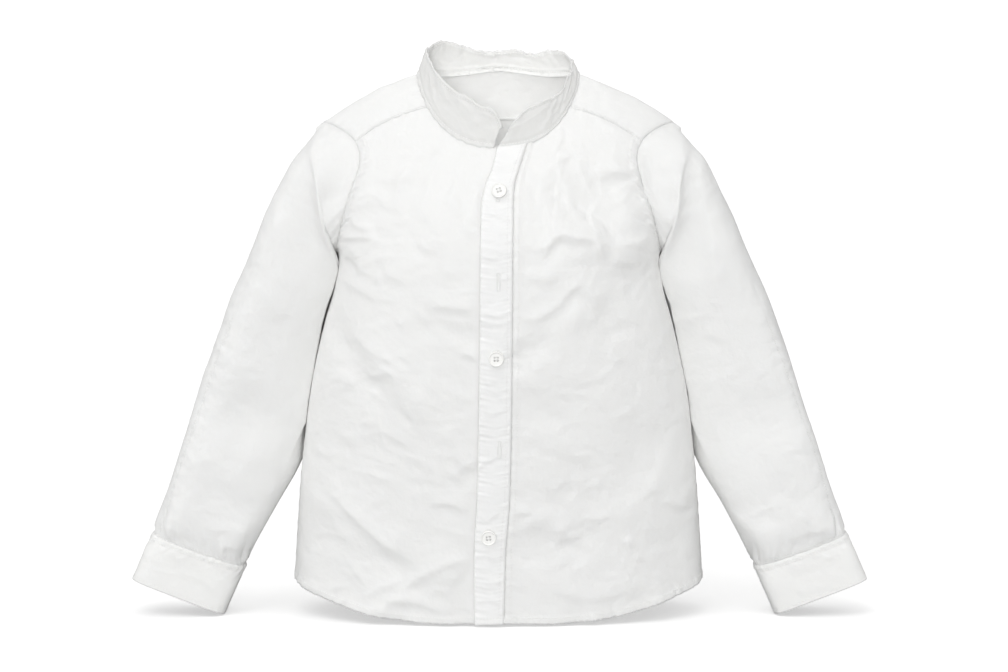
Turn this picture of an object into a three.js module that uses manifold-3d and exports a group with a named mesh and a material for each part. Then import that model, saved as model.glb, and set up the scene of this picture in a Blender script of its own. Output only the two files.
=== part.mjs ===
// A child's cotton shirt with a band collar, long cuffed sleeves and a buttoned placket, hollow and
// filled out as it is when worn. Every sewn piece is a closed wall of cloth of its own.
// Millimetres, +Z up. The wearer's left is +X and the front faces -Y. The origin lies between the
// shoulders, level with the points where neck and shoulder meet.
import * as THREE from 'three';
import { mergeVertices } from 'three/addons/utils/BufferGeometryUtils.js';
import Module from 'manifold-3d';

const wasm = await Module();
wasm.setup();

// ---- Driving dimensions ----
const CLOTH = 1.4; // wall of one piece of cloth with its seam allowances
const SEAM = 0.4; // gap between two pieces where they are sewn together
const LIE = 0.3; // gap below a piece that lies on another
const PLACKET_LIE = 1; // the placket's folded edges hold it this far off the front
const PLACKET_WALL = 1.8;
const CUFF_WALL = 1.8;
const COLLAR_WALL = 1.5;

const CLOTH_COLOUR = 0xf2f1ef;
const BAND_COLOUR = 0xefeeeb;
const BUTTON_COLOUR = 0xf6f5f2;

const SHOULDER_DROP = 34; // from the origin's height down to the shoulder point
const SHOULDER_REACH = 131; // from the middle to the shoulder point
const SHOULDER_START = 50; // where the shoulder line starts to fall
const NECK_CREST = 14; // rise of the shoulder line towards the neck
const NECK_CREST_WIDTH = 45;

const NECK = { half: 60.5, front: 46, back: 40 }; // plan of the neck seam
const YOKE_CORNER = 60; // degrees round the neck from its front to the yoke's front seam

const ARMHOLE = { middle: -84, rise: 49.5, front: 38, back: 41 }; // seen from the side
const STATION = 15; // degrees between two points of an armhole
const YOKE_FRONT_STATION = 45; // where the yoke's seams meet the armhole, from its top
const YOKE_BACK_STATION = -60;
const YOKE_BACK = { middle: -36, corner: -59, reach: 124 }; // heights of its back seam

const BUTTON = {
  radius: 5.7, thick: 2.2, edge: 0.5, hollow: 0.6, rim: 1.1, hole: 0.8, spacing: 1.5,
};
const CUFF_BUTTON = {
  radius: 4.6, thick: 2, edge: 0.5, hollow: 0.5, rim: 0.9, hole: 0.7, spacing: 1.3,
};
const BUTTON_HOLES = 4;
const BUTTON_SIDES = 20;
const HOLE_SIDES = 6;

// ---- Tables: the first row names the columns ----
function table(columns, ...rows) {
  return rows.map((row) => Object.fromEntries(columns.map((name, k) => [name, row[k]])));
}

// Level sections of the torso, from below the hem to above the shoulders. `power` is the
// squareness of the section, 2 for an ellipse.
const TORSO = table(
  ['height', 'half', 'front', 'back', 'power'],
  [-425, 157.5, 58, 56, 2.2],
  [-385, 156.5, 62, 59, 2.2],
  [-345, 154, 66, 62, 2.2],
  [-305, 151, 70, 65, 2.25],
  [-272, 147.5, 73, 68, 2.3],
  [-243, 144, 76, 71, 2.3],
  [-205, 136.5, 79, 75, 2.35],
  [-181, 130.5, 80, 78, 2.4],
  [-160, 124.5, 80, 80, 2.4],
  [-134, 121, 79, 82, 2.4],
  [-85, 133, 76, 83, 2.4],
  [-49, 137, 73, 81, 2.4],
  [0, 140, 70, 76, 2.4],
  [20, 140, 68, 74, 2.4]
);

// The hem's height, from the middle out to the side seam.
const HEM = table(
  ['across', 'height'],
  [0, -406.5],
  [45, -407],
  [84, -404],
  [105, -399.5],
  [120, -395.5],
  [134, -391],
  [145, -387.5],
  [155, -383]
);

// The placket's edges: it leans a little to the wearer's right towards the hem and turns out to
// the wearer's left under the collar.
const PLACKET = table(
  ['height', 'right', 'left'],
  [-425, -18.1, 4],
  [-350, -18.1, 5.7],
  [-310, -16, 8.6],
  [-200, -14, 10.4],
  [-95, -12.6, 11],
  [-78, -9.5, 12],
  [-66, -4.5, 15.5],
  [-44, 0.5, 23]
);

// The collar's top edge, round from the wearer's right end by the back to the wearer's left end.
// `inset` is how far it leans in over the neck.
const COLLAR = table(
  ['angle', 'top', 'inset'],
  [-4, -38, 1],
  [0, -29, 1],
  [4, -23, 2],
  [12, -20, 2],
  [22, -15, 2],
  [34, -9, 2.5],
  [46, -1, 3],
  [60, 8, 4.5],
  [75, 15, 6.5],
  [92, 20, 8],
  [108, 23.5, 8],
  [128, 26, 8],
  [145, 23, 8],
  [160, 19, 8],
  [180, 18, 8],
  [196, 19.5, 8],
  [210, 16, 7.5],
  [226, 19, 7],
  [240, 18.5, 6.5],
  [256, 15, 6.5],
  [270, 11, 6],
  [284, 5.5, 4.5],
  [296, 0, 3],
  [306, -9, 3],
  [316, -14, 2.5],
  [328, -18, 2],
  [338, -22.5, 2],
  [347, -29.5, 1.5],
  [353, -37, 1],
  [356, -39.5, 1]
);
const COLLAR_ENDS = { rightFoot: 3.2, rightTop: -3.6, leftFoot: 361.2, leftTop: 352.6 };

// Sections of a sleeve from its head to its cuff seam: the points of its outer and its inner edge,
// the middle of its depth, its half depth and its squareness.
const SLEEVE = table(
  ['outer', 'outerHeight', 'inner', 'innerHeight', 'middle', 'deep', 'power'],
  [137.5, -42, 123.2, -134.5, 1, 40, 2],
  [146, -52.5, 121, -137.5, 1, 41.5, 2.05],
  [155.4, -64.3, 118.5, -142, 1, 43, 2.1],
  [164.2, -81.2, 117, -149, 1, 44, 2.1],
  [174, -102.5, 117.5, -159, 1, 44.5, 2.15],
  [182.6, -124, 119.5, -171.5, 1, 44.5, 2.2],
  [192, -145.5, 123, -185, 1, 43.5, 2.2],
  [201.8, -168.5, 127.5, -200, 1, 42, 2.2],
  [213, -200.5, 134, -231, 1, 39, 2.2],
  [223.8, -231, 141.5, -262.5, 1, 36, 2.2],
  [233.3, -262, 151.5, -294, 0, 33.5, 2.2],
  [244.6, -295, 167.5, -326, -1, 31.5, 2.2],
  [251.6, -318, 180, -347, -3, 29, 2.2],
  [257, -334.5, 188, -361, -4, 25.5, 2.2],
  [260.7, -346.1, 192.4, -371.4, -5, 20.5, 2.25]
);
const SLEEVE_SPREAD = { right: 1.8, left: 3.6 }; // how much further out each forearm hangs
const SPREAD_ROW = 9; // the section from which a sleeve has its full spread
const SLEEVE_CLEAR = 2.6; // room between a sleeve and the torso's side
const SLEEVE_TUCK = 29; // how far behind the side seam a sleeve's inner edge is tucked
const TUCK_ROWS = { start: 0, full: 3.5, wane: 7, end: 12 };
const GATHERS = { waves: 6, height: 1.4, rows: 3 }; // fullness let into the cuff seam

const CUFF = table(
  ['outer', 'outerHeight', 'inner', 'innerHeight', 'middle', 'deep', 'power'],
  [262.2, -347, 191.4, -373, -5, 20.9, 2.3],
  [267.4, -358.1, 196.4, -384.3, -6, 20.4, 2.3],
  [272.4, -369.5, 201.7, -396.1, -6.5, 20.2, 2.3],
  [277.2, -380.6, 207, -407.8, -7, 20, 2.3]
);
// Degrees round a cuff: where it starts from its outer edge, how far it turns, and how long before
// its end it starts to rise over its start and has risen.
const CUFF_LAP = { start: 248, turn: 376, rising: 70, risen: 20 };
const CUFF_LAP_GAP = LIE + 0.2;
const ON_LAP = 8; // degrees from a cuff's start to its button

// Folds in the fronts and the back: from one end to the other, with the width and height of the
// ridge, or the depth of the trough where the height is negative.
const FOLD_COLUMNS = ['x1', 'z1', 'x2', 'z2', 'width', 'height'];
const FRONT_FOLDS = table(
  FOLD_COLUMNS,
  [-122, -186, -92, -225, 11, -2.2],
  [-96, -205, -62, -233, 12, 2.2],
  [-52, -182, -18, -188, 10, -1.8],
  [-128, -318, -92, -352, 13, 2.4],
  [-94, -356, -56, -382, 12, -2.2],
  [-104, -404, -42, -372, 12, 2.2],
  [14, -206, 44, -184, 9, -2.6],
  [44, -184, 66, -164, 10, 2.8],
  [66, -164, 84, -184, 9, -2.2],
  [34, -146, 58, -127, 12, 2.2],
  [58, -132, 104, -148, 13, -2.2],
  [22, -106, 104, -134, 14, 1.8],
  [16, -352, 62, -346, 12, -1.8],
  [70, -80, 104, -88, 11, -1.8]
);
const BACK_FOLDS = table(
  FOLD_COLUMNS,
  [-112, -150, -60, -196, 13, -2.4],
  [-70, -172, -20, -205, 13, 2.2],
  [30, -196, 92, -158, 13, 2.4],
  [52, -222, 118, -196, 12, -2.4],
  [-120, -300, -64, -350, 14, 2.2],
  [-50, -338, 10, -372, 14, -2],
  [40, -356, 104, -318, 13, 2.2],
  [-88, -92, -40, -112, 12, -1.8],
  [34, -104, 90, -90, 12, 1.8]
);

// Dents and ridges of the sleeves: the section where each lies, its place round the sleeve in
// degrees from the outer edge by the front, and how far it reaches along and round.
const SLEEVE_FOLDS = table(
  ['row', 'angle', 'rows', 'degrees', 'height'],
  [1.6, 62, 1.3, 24, -3],
  [1.4, 100, 1.2, 16, 1.6],
  [3.6, 84, 1.6, 20, -2.2],
  [5.4, 128, 1.2, 26, -2.2],
  [8.4, 60, 0.8, 34, 2.2],
  [9.4, 104, 0.7, 40, -2.4],
  [10.4, 66, 0.7, 36, 2],
  [11.5, 110, 0.6, 40, -1.8],
  [2, 262, 1.4, 22, -2.6],
  [6.4, 240, 1, 36, 2],
  [8.8, 290, 0.8, 40, -2.4],
  [10.2, 250, 0.8, 40, 2.2]
);

// ---- Small mathematics ----
const radians = THREE.MathUtils.degToRad;
const mix = THREE.MathUtils.lerp;
const smooth = (value, low, high) => THREE.MathUtils.smoothstep(value, low, high);
const along = (from, to, share) => new THREE.Vector3().lerpVectors(from, to, share);
const steps = (count) => Array.from({ length: count + 1 }, (_, k) => k / count);

// The value of a column between a table's rows, on a smooth curve through them.
function read(rows, key, column, at) {
  const last = rows.length - 1;
  const clipped = THREE.MathUtils.clamp(at, rows[0][key], rows[last][key]);
  let k = 0;
  while (k < last - 1 && rows[k + 1][key] < clipped) k += 1;
  const span = rows[k + 1][key] - rows[k][key];
  const t = (clipped - rows[k][key]) / span;
  const slope = (n) => {
    const before = rows[Math.max(0, n - 1)];
    const after = rows[Math.min(last, n + 1)];
    return ((after[column] - before[column]) / (after[key] - before[key])) * span;
  };
  const start = rows[k][column];
  const end = rows[k + 1][column];
  const bend = (2 * t ** 3 - 3 * t ** 2 + 1) * start + (3 * t ** 2 - 2 * t ** 3) * end;
  return bend + (t ** 3 - 2 * t ** 2 + t) * slope(k) + (t ** 3 - t ** 2) * slope(k + 1);
}

// The height of a ridge with soft sides and ends at a point (u, v).
function ridgeAt(fold, u, v) {
  const length = Math.hypot(fold.x2 - fold.x1, fold.z2 - fold.z1);
  const alongX = (fold.x2 - fold.x1) / length;
  const alongZ = (fold.z2 - fold.z1) / length;
  const forward = (u - fold.x1) * alongX + (v - fold.z1) * alongZ;
  const aside = (v - fold.z1) * alongX - (u - fold.x1) * alongZ;
  const past = Math.max(0, -forward, forward - length);
  return fold.height * Math.exp(-((aside / fold.width) ** 2) - (past / fold.width) ** 2);
}

// ---- The torso's surface ----
// Its depth before (face -1) or behind (face 1) the side seams is the depth of the level section,
// rounded off towards the side seams and towards the shoulder line.
function shoulderLine(x) {
  const out = Math.max(0, Math.abs(x) - SHOULDER_START) / (SHOULDER_REACH - SHOULDER_START);
  return NECK_CREST * Math.exp(-((x / NECK_CREST_WIDTH) ** 2)) - SHOULDER_DROP * out ** 1.65;
}

// How the depth grows below the shoulder line, for the front (-1) and the back (1): over a drop, on
// a curve, and with a bulge that depends on the place across the shoulder.
const SHOULDER_WIDE = 110;
const frontBulge = (x) => 1.05 + 0.75 * (x / SHOULDER_WIDE) ** 2;
const backBulge = (x) => Math.max(1.9, 3.2 - 1.2 * Math.abs(x / SHOULDER_WIDE));
const ROUNDING = {
  '-1': { drop: 140, curve: 1.5, bulge: frontBulge },
  1: { drop: 110, curve: 1.5, bulge: backBulge },
};

function section(z, face) {
  return {
    half: read(TORSO, 'height', 'half', z),
    deep: read(TORSO, 'height', face < 0 ? 'front' : 'back', z),
    power: read(TORSO, 'height', 'power', z),
  };
}

function sideRounding(x, { half, power }) {
  return Math.max(0, 1 - (Math.abs(x) / half) ** power) ** (1 / power);
}

function depth(x, z, face) {
  const { drop, curve, bulge } = ROUNDING[face];
  const below = THREE.MathUtils.clamp((shoulderLine(x) - z) / drop, 0, 1);
  const level = section(z, face);
  return level.deep * (1 - (1 - below) ** curve) ** (1 / bulge(x)) * sideRounding(x, level);
}

// The height at which the surface is |y| deep, for places near the shoulder line.
function heightAt(x, y) {
  const face = y < 0 ? -1 : 1;
  const { drop, curve, bulge } = ROUNDING[face];
  let z = shoulderLine(x);
  for (let round = 0; round < 12; round += 1) {
    const level = section(z, face);
    const share = Math.min(1, Math.abs(y) / (level.deep * sideRounding(x, level)));
    z = shoulderLine(x) - drop * (1 - (1 - share ** bulge(x)) ** (1 / curve));
  }
  return z;
}

// Unit normals come from how fast the depth changes, so neighbours agree along their seams.
function torsoNormal({ x, y, z }) {
  const face = y < 0 ? -1 : 1;
  const step = 0.4;
  const byX = (depth(x + step, z, face) - depth(x - step, z, face)) / (2 * step);
  const byZ = (depth(x, z + step, face) - depth(x, z - step, face)) / (2 * step);
  const normal = new THREE.Vector3(-byX, face * smooth(Math.abs(y), 0, 3), -byZ);
  return normal.normalize();
}

// There are no folds at the side seams and on the shoulders, where the torso is shallow.
const FOLD_DEPTH = { none: 12, full: 34 };
function torsoFolds({ x, y, z }) {
  const folds = y < 0 ? FRONT_FOLDS : BACK_FOLDS;
  const fade = smooth(Math.abs(y), FOLD_DEPTH.none, FOLD_DEPTH.full);
  return fade * folds.reduce((sum, fold) => sum + ridgeAt(fold, x, z), 0);
}

// A point of the surface, moved out with its folds and by `lift`.
function lifted(point, lift) {
  return point.clone().addScaledVector(torsoNormal(point), torsoFolds(point) + lift);
}

function onTorso(x, z, face) {
  return new THREE.Vector3(x, face * depth(x, z, face), z);
}

// ---- Edges ----
// How far from the middle the surface is |y| deep, at a height.
const REACHES = { least: 60, most: 160 };
function reachAt(y, z) {
  const face = y < 0 ? -1 : 1;
  let near = REACHES.least;
  let far = REACHES.most;
  for (let round = 0; round < 40; round += 1) {
    const middle = (near + far) / 2;
    if (depth(middle, z, face) > Math.abs(y)) near = middle;
    else far = middle;
  }
  return near;
}

// A point of an armhole, with its angle from the top by the front; `grow` widens the hole.
function armhole(angle, side, grow = 0) {
  const forward = Math.sin(radians(angle));
  const y = -((forward > 0 ? ARMHOLE.front : ARMHOLE.back) + grow) * forward;
  const z = ARMHOLE.middle + (ARMHOLE.rise + grow) * Math.cos(radians(angle));
  return new THREE.Vector3(side * reachAt(y, z), y, z);
}

// A point of the neck seam, with its angle from the front by the wearer's left; `grow` widens it.
function neck(angle, grow = 0) {
  const turn = Math.cos(radians(angle));
  const x = (NECK.half + grow) * Math.sin(radians(angle));
  const y = -((turn > 0 ? NECK.front : NECK.back) + grow) * turn;
  return new THREE.Vector3(x, y, heightAt(x, y));
}

const hemHeight = (x) => read(HEM, 'across', 'height', Math.abs(x));
const placketEdge = (edge, z) => read(PLACKET, 'height', edge, z);
const yokeBackSeam = (x) => mix(YOKE_BACK.middle, YOKE_BACK.corner, (x / YOKE_BACK.reach) ** 2);

// ---- Walls ----
// A closed wall between two grids of points. `round` joins each row's end to its start.
function wall(name, outer, inner, round, colour) {
  const rows = outer.length;
  const across = outer[0].length;
  const points = [...outer.flat(), ...inner.flat()];
  const at = (layer, i, j) => layer * rows * across + i * across + (j % across);
  const faces = [];
  const quad = (a, b, c, d) => faces.push([a, b, c], [a, c, d]);
  const last = round ? across : across - 1;
  for (let i = 0; i < rows - 1; i += 1) {
    for (let j = 0; j < last; j += 1) {
      quad(at(0, i, j), at(0, i, j + 1), at(0, i + 1, j + 1), at(0, i + 1, j));
      quad(at(1, i, j), at(1, i + 1, j), at(1, i + 1, j + 1), at(1, i, j + 1));
    }
  }
  for (let j = 0; j < last; j += 1) {
    quad(at(0, 0, j), at(1, 0, j), at(1, 0, j + 1), at(0, 0, j + 1));
    quad(at(0, rows - 1, j), at(0, rows - 1, j + 1), at(1, rows - 1, j + 1), at(1, rows - 1, j));
  }
  for (let i = 0; !round && i < rows - 1; i += 1) {
    quad(at(0, i, 0), at(0, i + 1, 0), at(1, i + 1, 0), at(1, i, 0));
    quad(at(0, i, last), at(1, i, last), at(1, i + 1, last), at(0, i + 1, last));
  }
  const volume = faces.reduce((sum, [a, b, c]) => {
    const cross = new THREE.Vector3().crossVectors(points[b], points[c]);
    return sum + points[a].dot(cross);
  }, 0);
  if (volume < 0) faces.forEach((face) => face.reverse());
  const geometry = new THREE.BufferGeometry().setFromPoints(points);
  geometry.setIndex(faces.flat());
  return piece(name, geometry, colour);
}

function piece(name, geometry, colour = CLOTH_COLOUR) {
  const material = new THREE.MeshStandardMaterial({ color: colour, roughness: 0.9, metalness: 0 });
  const mesh = new THREE.Mesh(geometry, material);
  mesh.name = name;
  return mesh;
}

// A panel of the torso from a grid of points on its surface.
function torsoPanel(name, grid) {
  const outer = grid.map((row) => row.map((point) => lifted(point, 0)));
  const inner = grid.map((row) => row.map((point) => lifted(point, -CLOTH)));
  return wall(name, outer, inner, false, CLOTH_COLOUR);
}

// ---- Rows and columns of the panels ----
const BODY_ROWS = 13; // from the hem to the armhole
const YOKE_ROWS = 5; // from the neck seam to the yoke's outer edge
const HALF_GAP = SEAM / 2;

// Heights down the side of a panel, from the hem up the side seam and the armhole's edge.
function sideHeights(lastStation) {
  const floor = hemHeight(section(HEM.at(-1).height, -1).half);
  const top = armhole(180, 1, HALF_GAP).z;
  const body = steps(BODY_ROWS).map((share) => mix(floor, top, share));
  const hole = [];
  for (let angle = 180 - STATION; angle >= lastStation; angle -= STATION) {
    hole.push(armhole(angle, 1, HALF_GAP).z);
  }
  return [...body, ...hole];
}

// How far round the section a point lies, 0 at the middle and 1 at the side seam.
function turnAt(x, z, face) {
  const { half, power } = section(z, face);
  const share = Math.min(1, Math.abs(x) / half);
  return (Math.asin(share ** (power / 2)) * 2) / Math.PI;
}

function pointAtTurn(turn, z, face, side) {
  const { half, power } = section(z, face);
  const x = side * half * Math.sin((Math.min(1, turn) * Math.PI) / 2) ** (2 / power);
  return onTorso(x, z, face);
}

// The outer edge of a panel at a height: the side seam below the armhole, its edge above.
function panelEdge(z, face, side) {
  const ratio = (z - ARMHOLE.middle) / (ARMHOLE.rise + HALF_GAP);
  if (ratio < -1) {
    const { half } = section(z, face);
    return onTorso(side * (half - 0.01), z, face).setY(face * HALF_GAP);
  }
  const angle = THREE.MathUtils.radToDeg(Math.acos(Math.min(1, ratio)));
  return armhole(face < 0 ? angle : -angle, side, HALF_GAP);
}

// One half of a front or a back: columns hang from the top edge's points, and rows rise from the
// hem to them. `centre` gives the inner edge at a height.
function hangingGrid(tops, heights, face, side, centre) {
  const low = heights[0];
  const high = heights[heights.length - 1];
  const signed = (turn, x) => (side * x < 0 ? -turn : turn); // past the middle is negative
  const topTurns = tops.map((top) => signed(turnAt(top.x, top.z, face), top.x));
  const shares = topTurns.map((turn) => (turn - topTurns[0]) / (topTurns.at(-1) - topTurns[0]));
  return heights.map((height, row) => {
    const rise = (height - low) / (high - low);
    return tops.map((top, column) => {
      if (row === heights.length - 1) return top.clone();
      let point = top.clone();
      for (let round = 0; round < 4; round += 1) {
        const z = mix(hemHeight(point.x), top.z, rise);
        if (column === tops.length - 1) return panelEdge(height, face, side);
        const start = signed(turnAt(centre(z), z, face), centre(z));
        const edge = panelEdge(z, face, side);
        const end = Math.abs(edge.y) <= HALF_GAP ? 1 : turnAt(edge.x, z, face);
        const turn = mix(start, end, shares[column]);
        point = turn < 0 ? pointAtTurn(-turn, z, face, -side) : pointAtTurn(turn, z, face, side);
      }
      return point;
    });
  });
}

// ---- Yoke: from the neck seam out to the armholes and the back seam ----
function yokeRim(side) {
  const rim = [];
  for (let angle = YOKE_FRONT_STATION; angle >= YOKE_BACK_STATION; angle -= STATION) {
    rim.push(armhole(angle, side, HALF_GAP));
  }
  return rim;
}

const BACK_COLUMNS = 8; // on each side of the middle of the back
function backSeam(side, drop) {
  const corner = armhole(YOKE_BACK_STATION, side, HALF_GAP);
  return steps(BACK_COLUMNS).map((share) => {
    const x = corner.x * (1 - share);
    if (share === 0 && drop === 0) return corner;
    return onTorso(x, yokeBackSeam(x) - drop, 1);
  });
}

function yokeColumns(side) {
  const rim = [...yokeRim(side), ...backSeam(side, 0).slice(1)];
  const turns = rim.map((_, k) => side * mix(YOKE_CORNER, 180, k / (rim.length - 1)));
  return rim.map((far, k) => {
    const near = neck(turns[k], HALF_GAP);
    return steps(YOKE_ROWS).map((share) => {
      if (share === 0) return near;
      if (share === 1) return far;
      const x = mix(near.x, far.x, share);
      const y = mix(near.y, far.y, share);
      return new THREE.Vector3(x, y, heightAt(x, y));
    });
  });
}

function buildYoke() {
  const right = yokeColumns(-1);
  const left = yokeColumns(1);
  const columns = [...right, ...left.reverse().slice(1)];
  return torsoPanel('yoke', columns);
}

// The front seam of the yoke, from the neck to the armhole, moved down by the seam's gap.
function frontSeam(side) {
  const column = yokeColumns(side)[0];
  return column.map((point, k) => {
    if (k === column.length - 1) {
      const angle = YOKE_FRONT_STATION + THREE.MathUtils.radToDeg(SEAM / ARMHOLE.rise);
      return armhole(angle, side, HALF_GAP);
    }
    return onTorso(point.x, point.z - SEAM, -1);
  });
}

const NECK_COLUMNS = 6;
const THROAT = -50; // height at which a front's inner edge meets the neck seam
function buildFront(side, name, centre) {
  const seam = frontSeam(side);
  const start = THREE.MathUtils.radToDeg(Math.asin(centre(THROAT) / NECK.half));
  const neckPoints = steps(NECK_COLUMNS).map((share) => {
    return neck(mix(start, side * YOKE_CORNER, share), HALF_GAP);
  });
  neckPoints.pop();
  const tops = [...neckPoints, ...seam];
  const heights = sideHeights(YOKE_FRONT_STATION);
  heights[heights.length - 1] = seam.at(-1).z;
  return torsoPanel(name, hangingGrid(tops, heights, -1, side, centre));
}

function buildBack() {
  const heights = sideHeights(-YOKE_BACK_STATION);
  const half = (side) => {
    const tops = backSeam(side, SEAM).reverse();
    const angle = YOKE_BACK_STATION - THREE.MathUtils.radToDeg(SEAM / ARMHOLE.rise);
    tops[tops.length - 1] = armhole(angle, side, HALF_GAP);
    const sides = heights.slice();
    sides[sides.length - 1] = tops.at(-1).z;
    return hangingGrid(tops, sides, 1, side, () => 0);
  };
  const right = half(-1);
  const left = half(1);
  const grid = right.map((row, k) => [...row.slice().reverse(), ...left[k].slice(1)]);
  return torsoPanel('back', grid);
}

// ---- Button placket: a strip that lies on the wearer's right front ----
const PLACKET_ROWS = 26;
const PLACKET_COLUMNS = 3;
function buildPlacket() {
  const outer = [];
  const inner = [];
  for (const rise of steps(PLACKET_ROWS)) {
    const row = steps(PLACKET_COLUMNS).map((share) => {
      let x = 0;
      let z = 0;
      for (let round = 0; round < 6; round += 1) {
        const top = heightAt(x, -Math.sqrt(1 - (x / NECK.half) ** 2) * NECK.front) - SEAM;
        z = mix(hemHeight(x), top, rise);
        x = mix(placketEdge('right', z), placketEdge('left', z), share);
      }
      return onTorso(x, z, -1);
    });
    outer.push(row.map((point) => lifted(point, PLACKET_LIE + PLACKET_WALL)));
    inner.push(row.map((point) => lifted(point, PLACKET_LIE)));
  }
  return wall('button_placket', outer, inner, false, BAND_COLOUR);
}

// ---- Collar: a band that stands on the neck seam ----
const COLLAR_COLUMNS = 44;
const COLLAR_ROWS = 3;
function buildCollar() {
  const outer = [];
  const inner = [];
  for (const rise of steps(COLLAR_ROWS)) {
    const start = mix(COLLAR_ENDS.rightFoot, COLLAR_ENDS.rightTop, rise);
    const end = mix(COLLAR_ENDS.leftFoot, COLLAR_ENDS.leftTop, rise);
    const band = (share, inward) => {
      const angle = mix(start, end, share);
      const foot = neck(-angle);
      const top = read(COLLAR, 'angle', 'top', angle);
      const out = new THREE.Vector3(foot.x, foot.y, 0).normalize();
      const lean = read(COLLAR, 'angle', 'inset', angle) * rise ** 1.3;
      return foot
        .addScaledVector(out, -lean - inward)
        .setZ(mix(foot.z + SEAM, top, rise));
    };
    const shares = steps(COLLAR_COLUMNS);
    outer.push(shares.map((share) => band(share, 0)));
    inner.push(shares.map((share) => band(share, COLLAR_WALL)));
  }
  return wall('collar', outer, inner, false, BAND_COLOUR);
}

// ---- Sleeves and cuffs: rings from the armhole to the wrist ----
const RING = 360 / STATION;

// A ring's point: `angle` runs from the outer edge by the front. `tuck` moves the inner edge back.
function ringPoint(row, angle, side, spread, tuck) {
  const a = radians(angle);
  const bend = (value) => Math.sign(value) * Math.abs(value) ** (2 / row.power);
  const outer = new THREE.Vector3(side * (row.outer + spread), 0, row.outerHeight);
  const inner = new THREE.Vector3(side * (row.inner + spread), 0, row.innerHeight);
  const point = along(inner, outer, (1 + bend(Math.cos(a))) / 2);
  const inward = (1 - Math.cos(a)) / 2;
  point.y = row.middle + tuck * inward - row.deep * bend(Math.sin(a));
  return point;
}

// Pushes a sleeve's point out of the torso's side, so that the sleeve lies against it. There is
// nothing to clear well inside the armhole, and little beside its seam.
const HOLE_SHARE = { inside: 0.8, seam: 0.85, outside: 1.05 };
const LEAST_SLANT = 0.4;
function clearOfTorso(point, side) {
  const reach = point.y < 0 ? ARMHOLE.front : ARMHOLE.back;
  const fromHole = Math.hypot(point.y / reach, (point.z - ARMHOLE.middle) / ARMHOLE.rise);
  const level = section(point.z, point.y < 0 ? -1 : 1);
  if (fromHole < HOLE_SHARE.inside || Math.abs(point.y) >= level.deep) return point;
  const edge = new THREE.Vector3(side * reachAt(point.y, point.z), point.y, point.z);
  const slant = Math.max(LEAST_SLANT, Math.abs(torsoNormal(edge).x));
  const room = SLEEVE_CLEAR * smooth(fromHole, HOLE_SHARE.seam, HOLE_SHARE.outside) / slant;
  point.x = side * Math.max(Math.abs(point.x), Math.abs(edge.x) + room);
  return point;
}

function sleeveFold(row, angle) {
  return SLEEVE_FOLDS.reduce((sum, fold) => {
    const aside = Math.abs(((angle - fold.angle + 540) % 360) - 180) / fold.degrees;
    return sum + fold.height * Math.exp(-(((row - fold.row) / fold.rows) ** 2) - aside ** 2);
  }, 0);
}

// Normals of a grid that is closed in its rows, away from each row's middle.
function ringNormals(grid) {
  return grid.map((row, i) => {
    const middle = row.reduce((sum, point) => sum.add(point), new THREE.Vector3());
    middle.divideScalar(row.length);
    return row.map((point, j) => {
      const next = row[(j + 1) % row.length];
      const before = row[(j - 1 + row.length) % row.length];
      const around = new THREE.Vector3().subVectors(next, before);
      const far = grid[Math.min(grid.length - 1, i + 1)][j];
      const near = grid[Math.max(0, i - 1)][j];
      const down = new THREE.Vector3().subVectors(far, near);
      const normal = new THREE.Vector3().crossVectors(around, down).normalize();
      const out = new THREE.Vector3().subVectors(point, middle);
      return normal.dot(out) < 0 ? normal.negate() : normal;
    });
  });
}

function offset(grid, normals, distance) {
  return grid.map((row, i) => row.map((p, j) => p.clone().addScaledVector(normals[i][j], distance)));
}

function buildSleeve(side, name, fullSpread) {
  const angles = Array.from({ length: RING }, (_, k) => k * STATION);
  const head = angles.map((angle) => armhole(angle, side, -HALF_GAP));
  const rings = SLEEVE.map((row, k) => {
    const spread = fullSpread * smooth(k, 0, SPREAD_ROW);
    const fullness = smooth(k, TUCK_ROWS.start, TUCK_ROWS.full);
    const tuck = SLEEVE_TUCK * fullness * (1 - smooth(k, TUCK_ROWS.wane, TUCK_ROWS.end));
    return angles.map((angle) => clearOfTorso(ringPoint(row, angle, side, spread, tuck), side));
  });
  const plain = [head, ...rings];
  const normals = ringNormals(plain);
  normals[0] = head.map((point) => torsoNormal(point));
  const last = plain.length - 1;
  const outer = plain.map((ring, k) => ring.map((point, j) => {
    if (k === 0 || k === last) return point.clone();
    const near = smooth(k, last - GATHERS.rows, last - 1);
    const gather = GATHERS.height * near * Math.cos(radians(GATHERS.waves * angles[j]));
    const fold = sleeveFold(k - 1, angles[j]) + gather;
    const moved = point.clone().addScaledVector(normals[k][j], fold);
    return clearOfTorso(moved, side);
  }));
  const walls = ringNormals(outer);
  walls[0] = normals[0];
  const mesh = wall(name, outer, offset(outer, walls, -CLOTH), true, CLOTH_COLOUR);
  return { mesh, outer, normals: walls };
}

// A cuff is one band: its end laps over its start on the side away from the front.
const CUFF_COLUMNS = 30;
function buildCuff(side, name, spread) {
  const turns = steps(CUFF_COLUMNS).map((share) => CUFF_LAP.turn * share);
  const band = (inward) => CUFF.map((row) => turns.map((turn) => {
    const lap = smooth(turn, CUFF_LAP.turn - CUFF_LAP.rising, CUFF_LAP.turn - CUFF_LAP.risen);
    const out = (CUFF_WALL + CUFF_LAP_GAP) * lap - inward;
    const grown = { ...row, deep: row.deep + out };
    const point = ringPoint(grown, CUFF_LAP.start + turn, side, spread, 0);
    const reach = Math.cos(radians(CUFF_LAP.start + turn));
    point.x += out * side * Math.sign(reach) * Math.abs(reach) ** 0.9;
    return point;
  }));
  return wall(name, band(0), band(CUFF_WALL), false, BAND_COLOUR);
}

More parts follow.
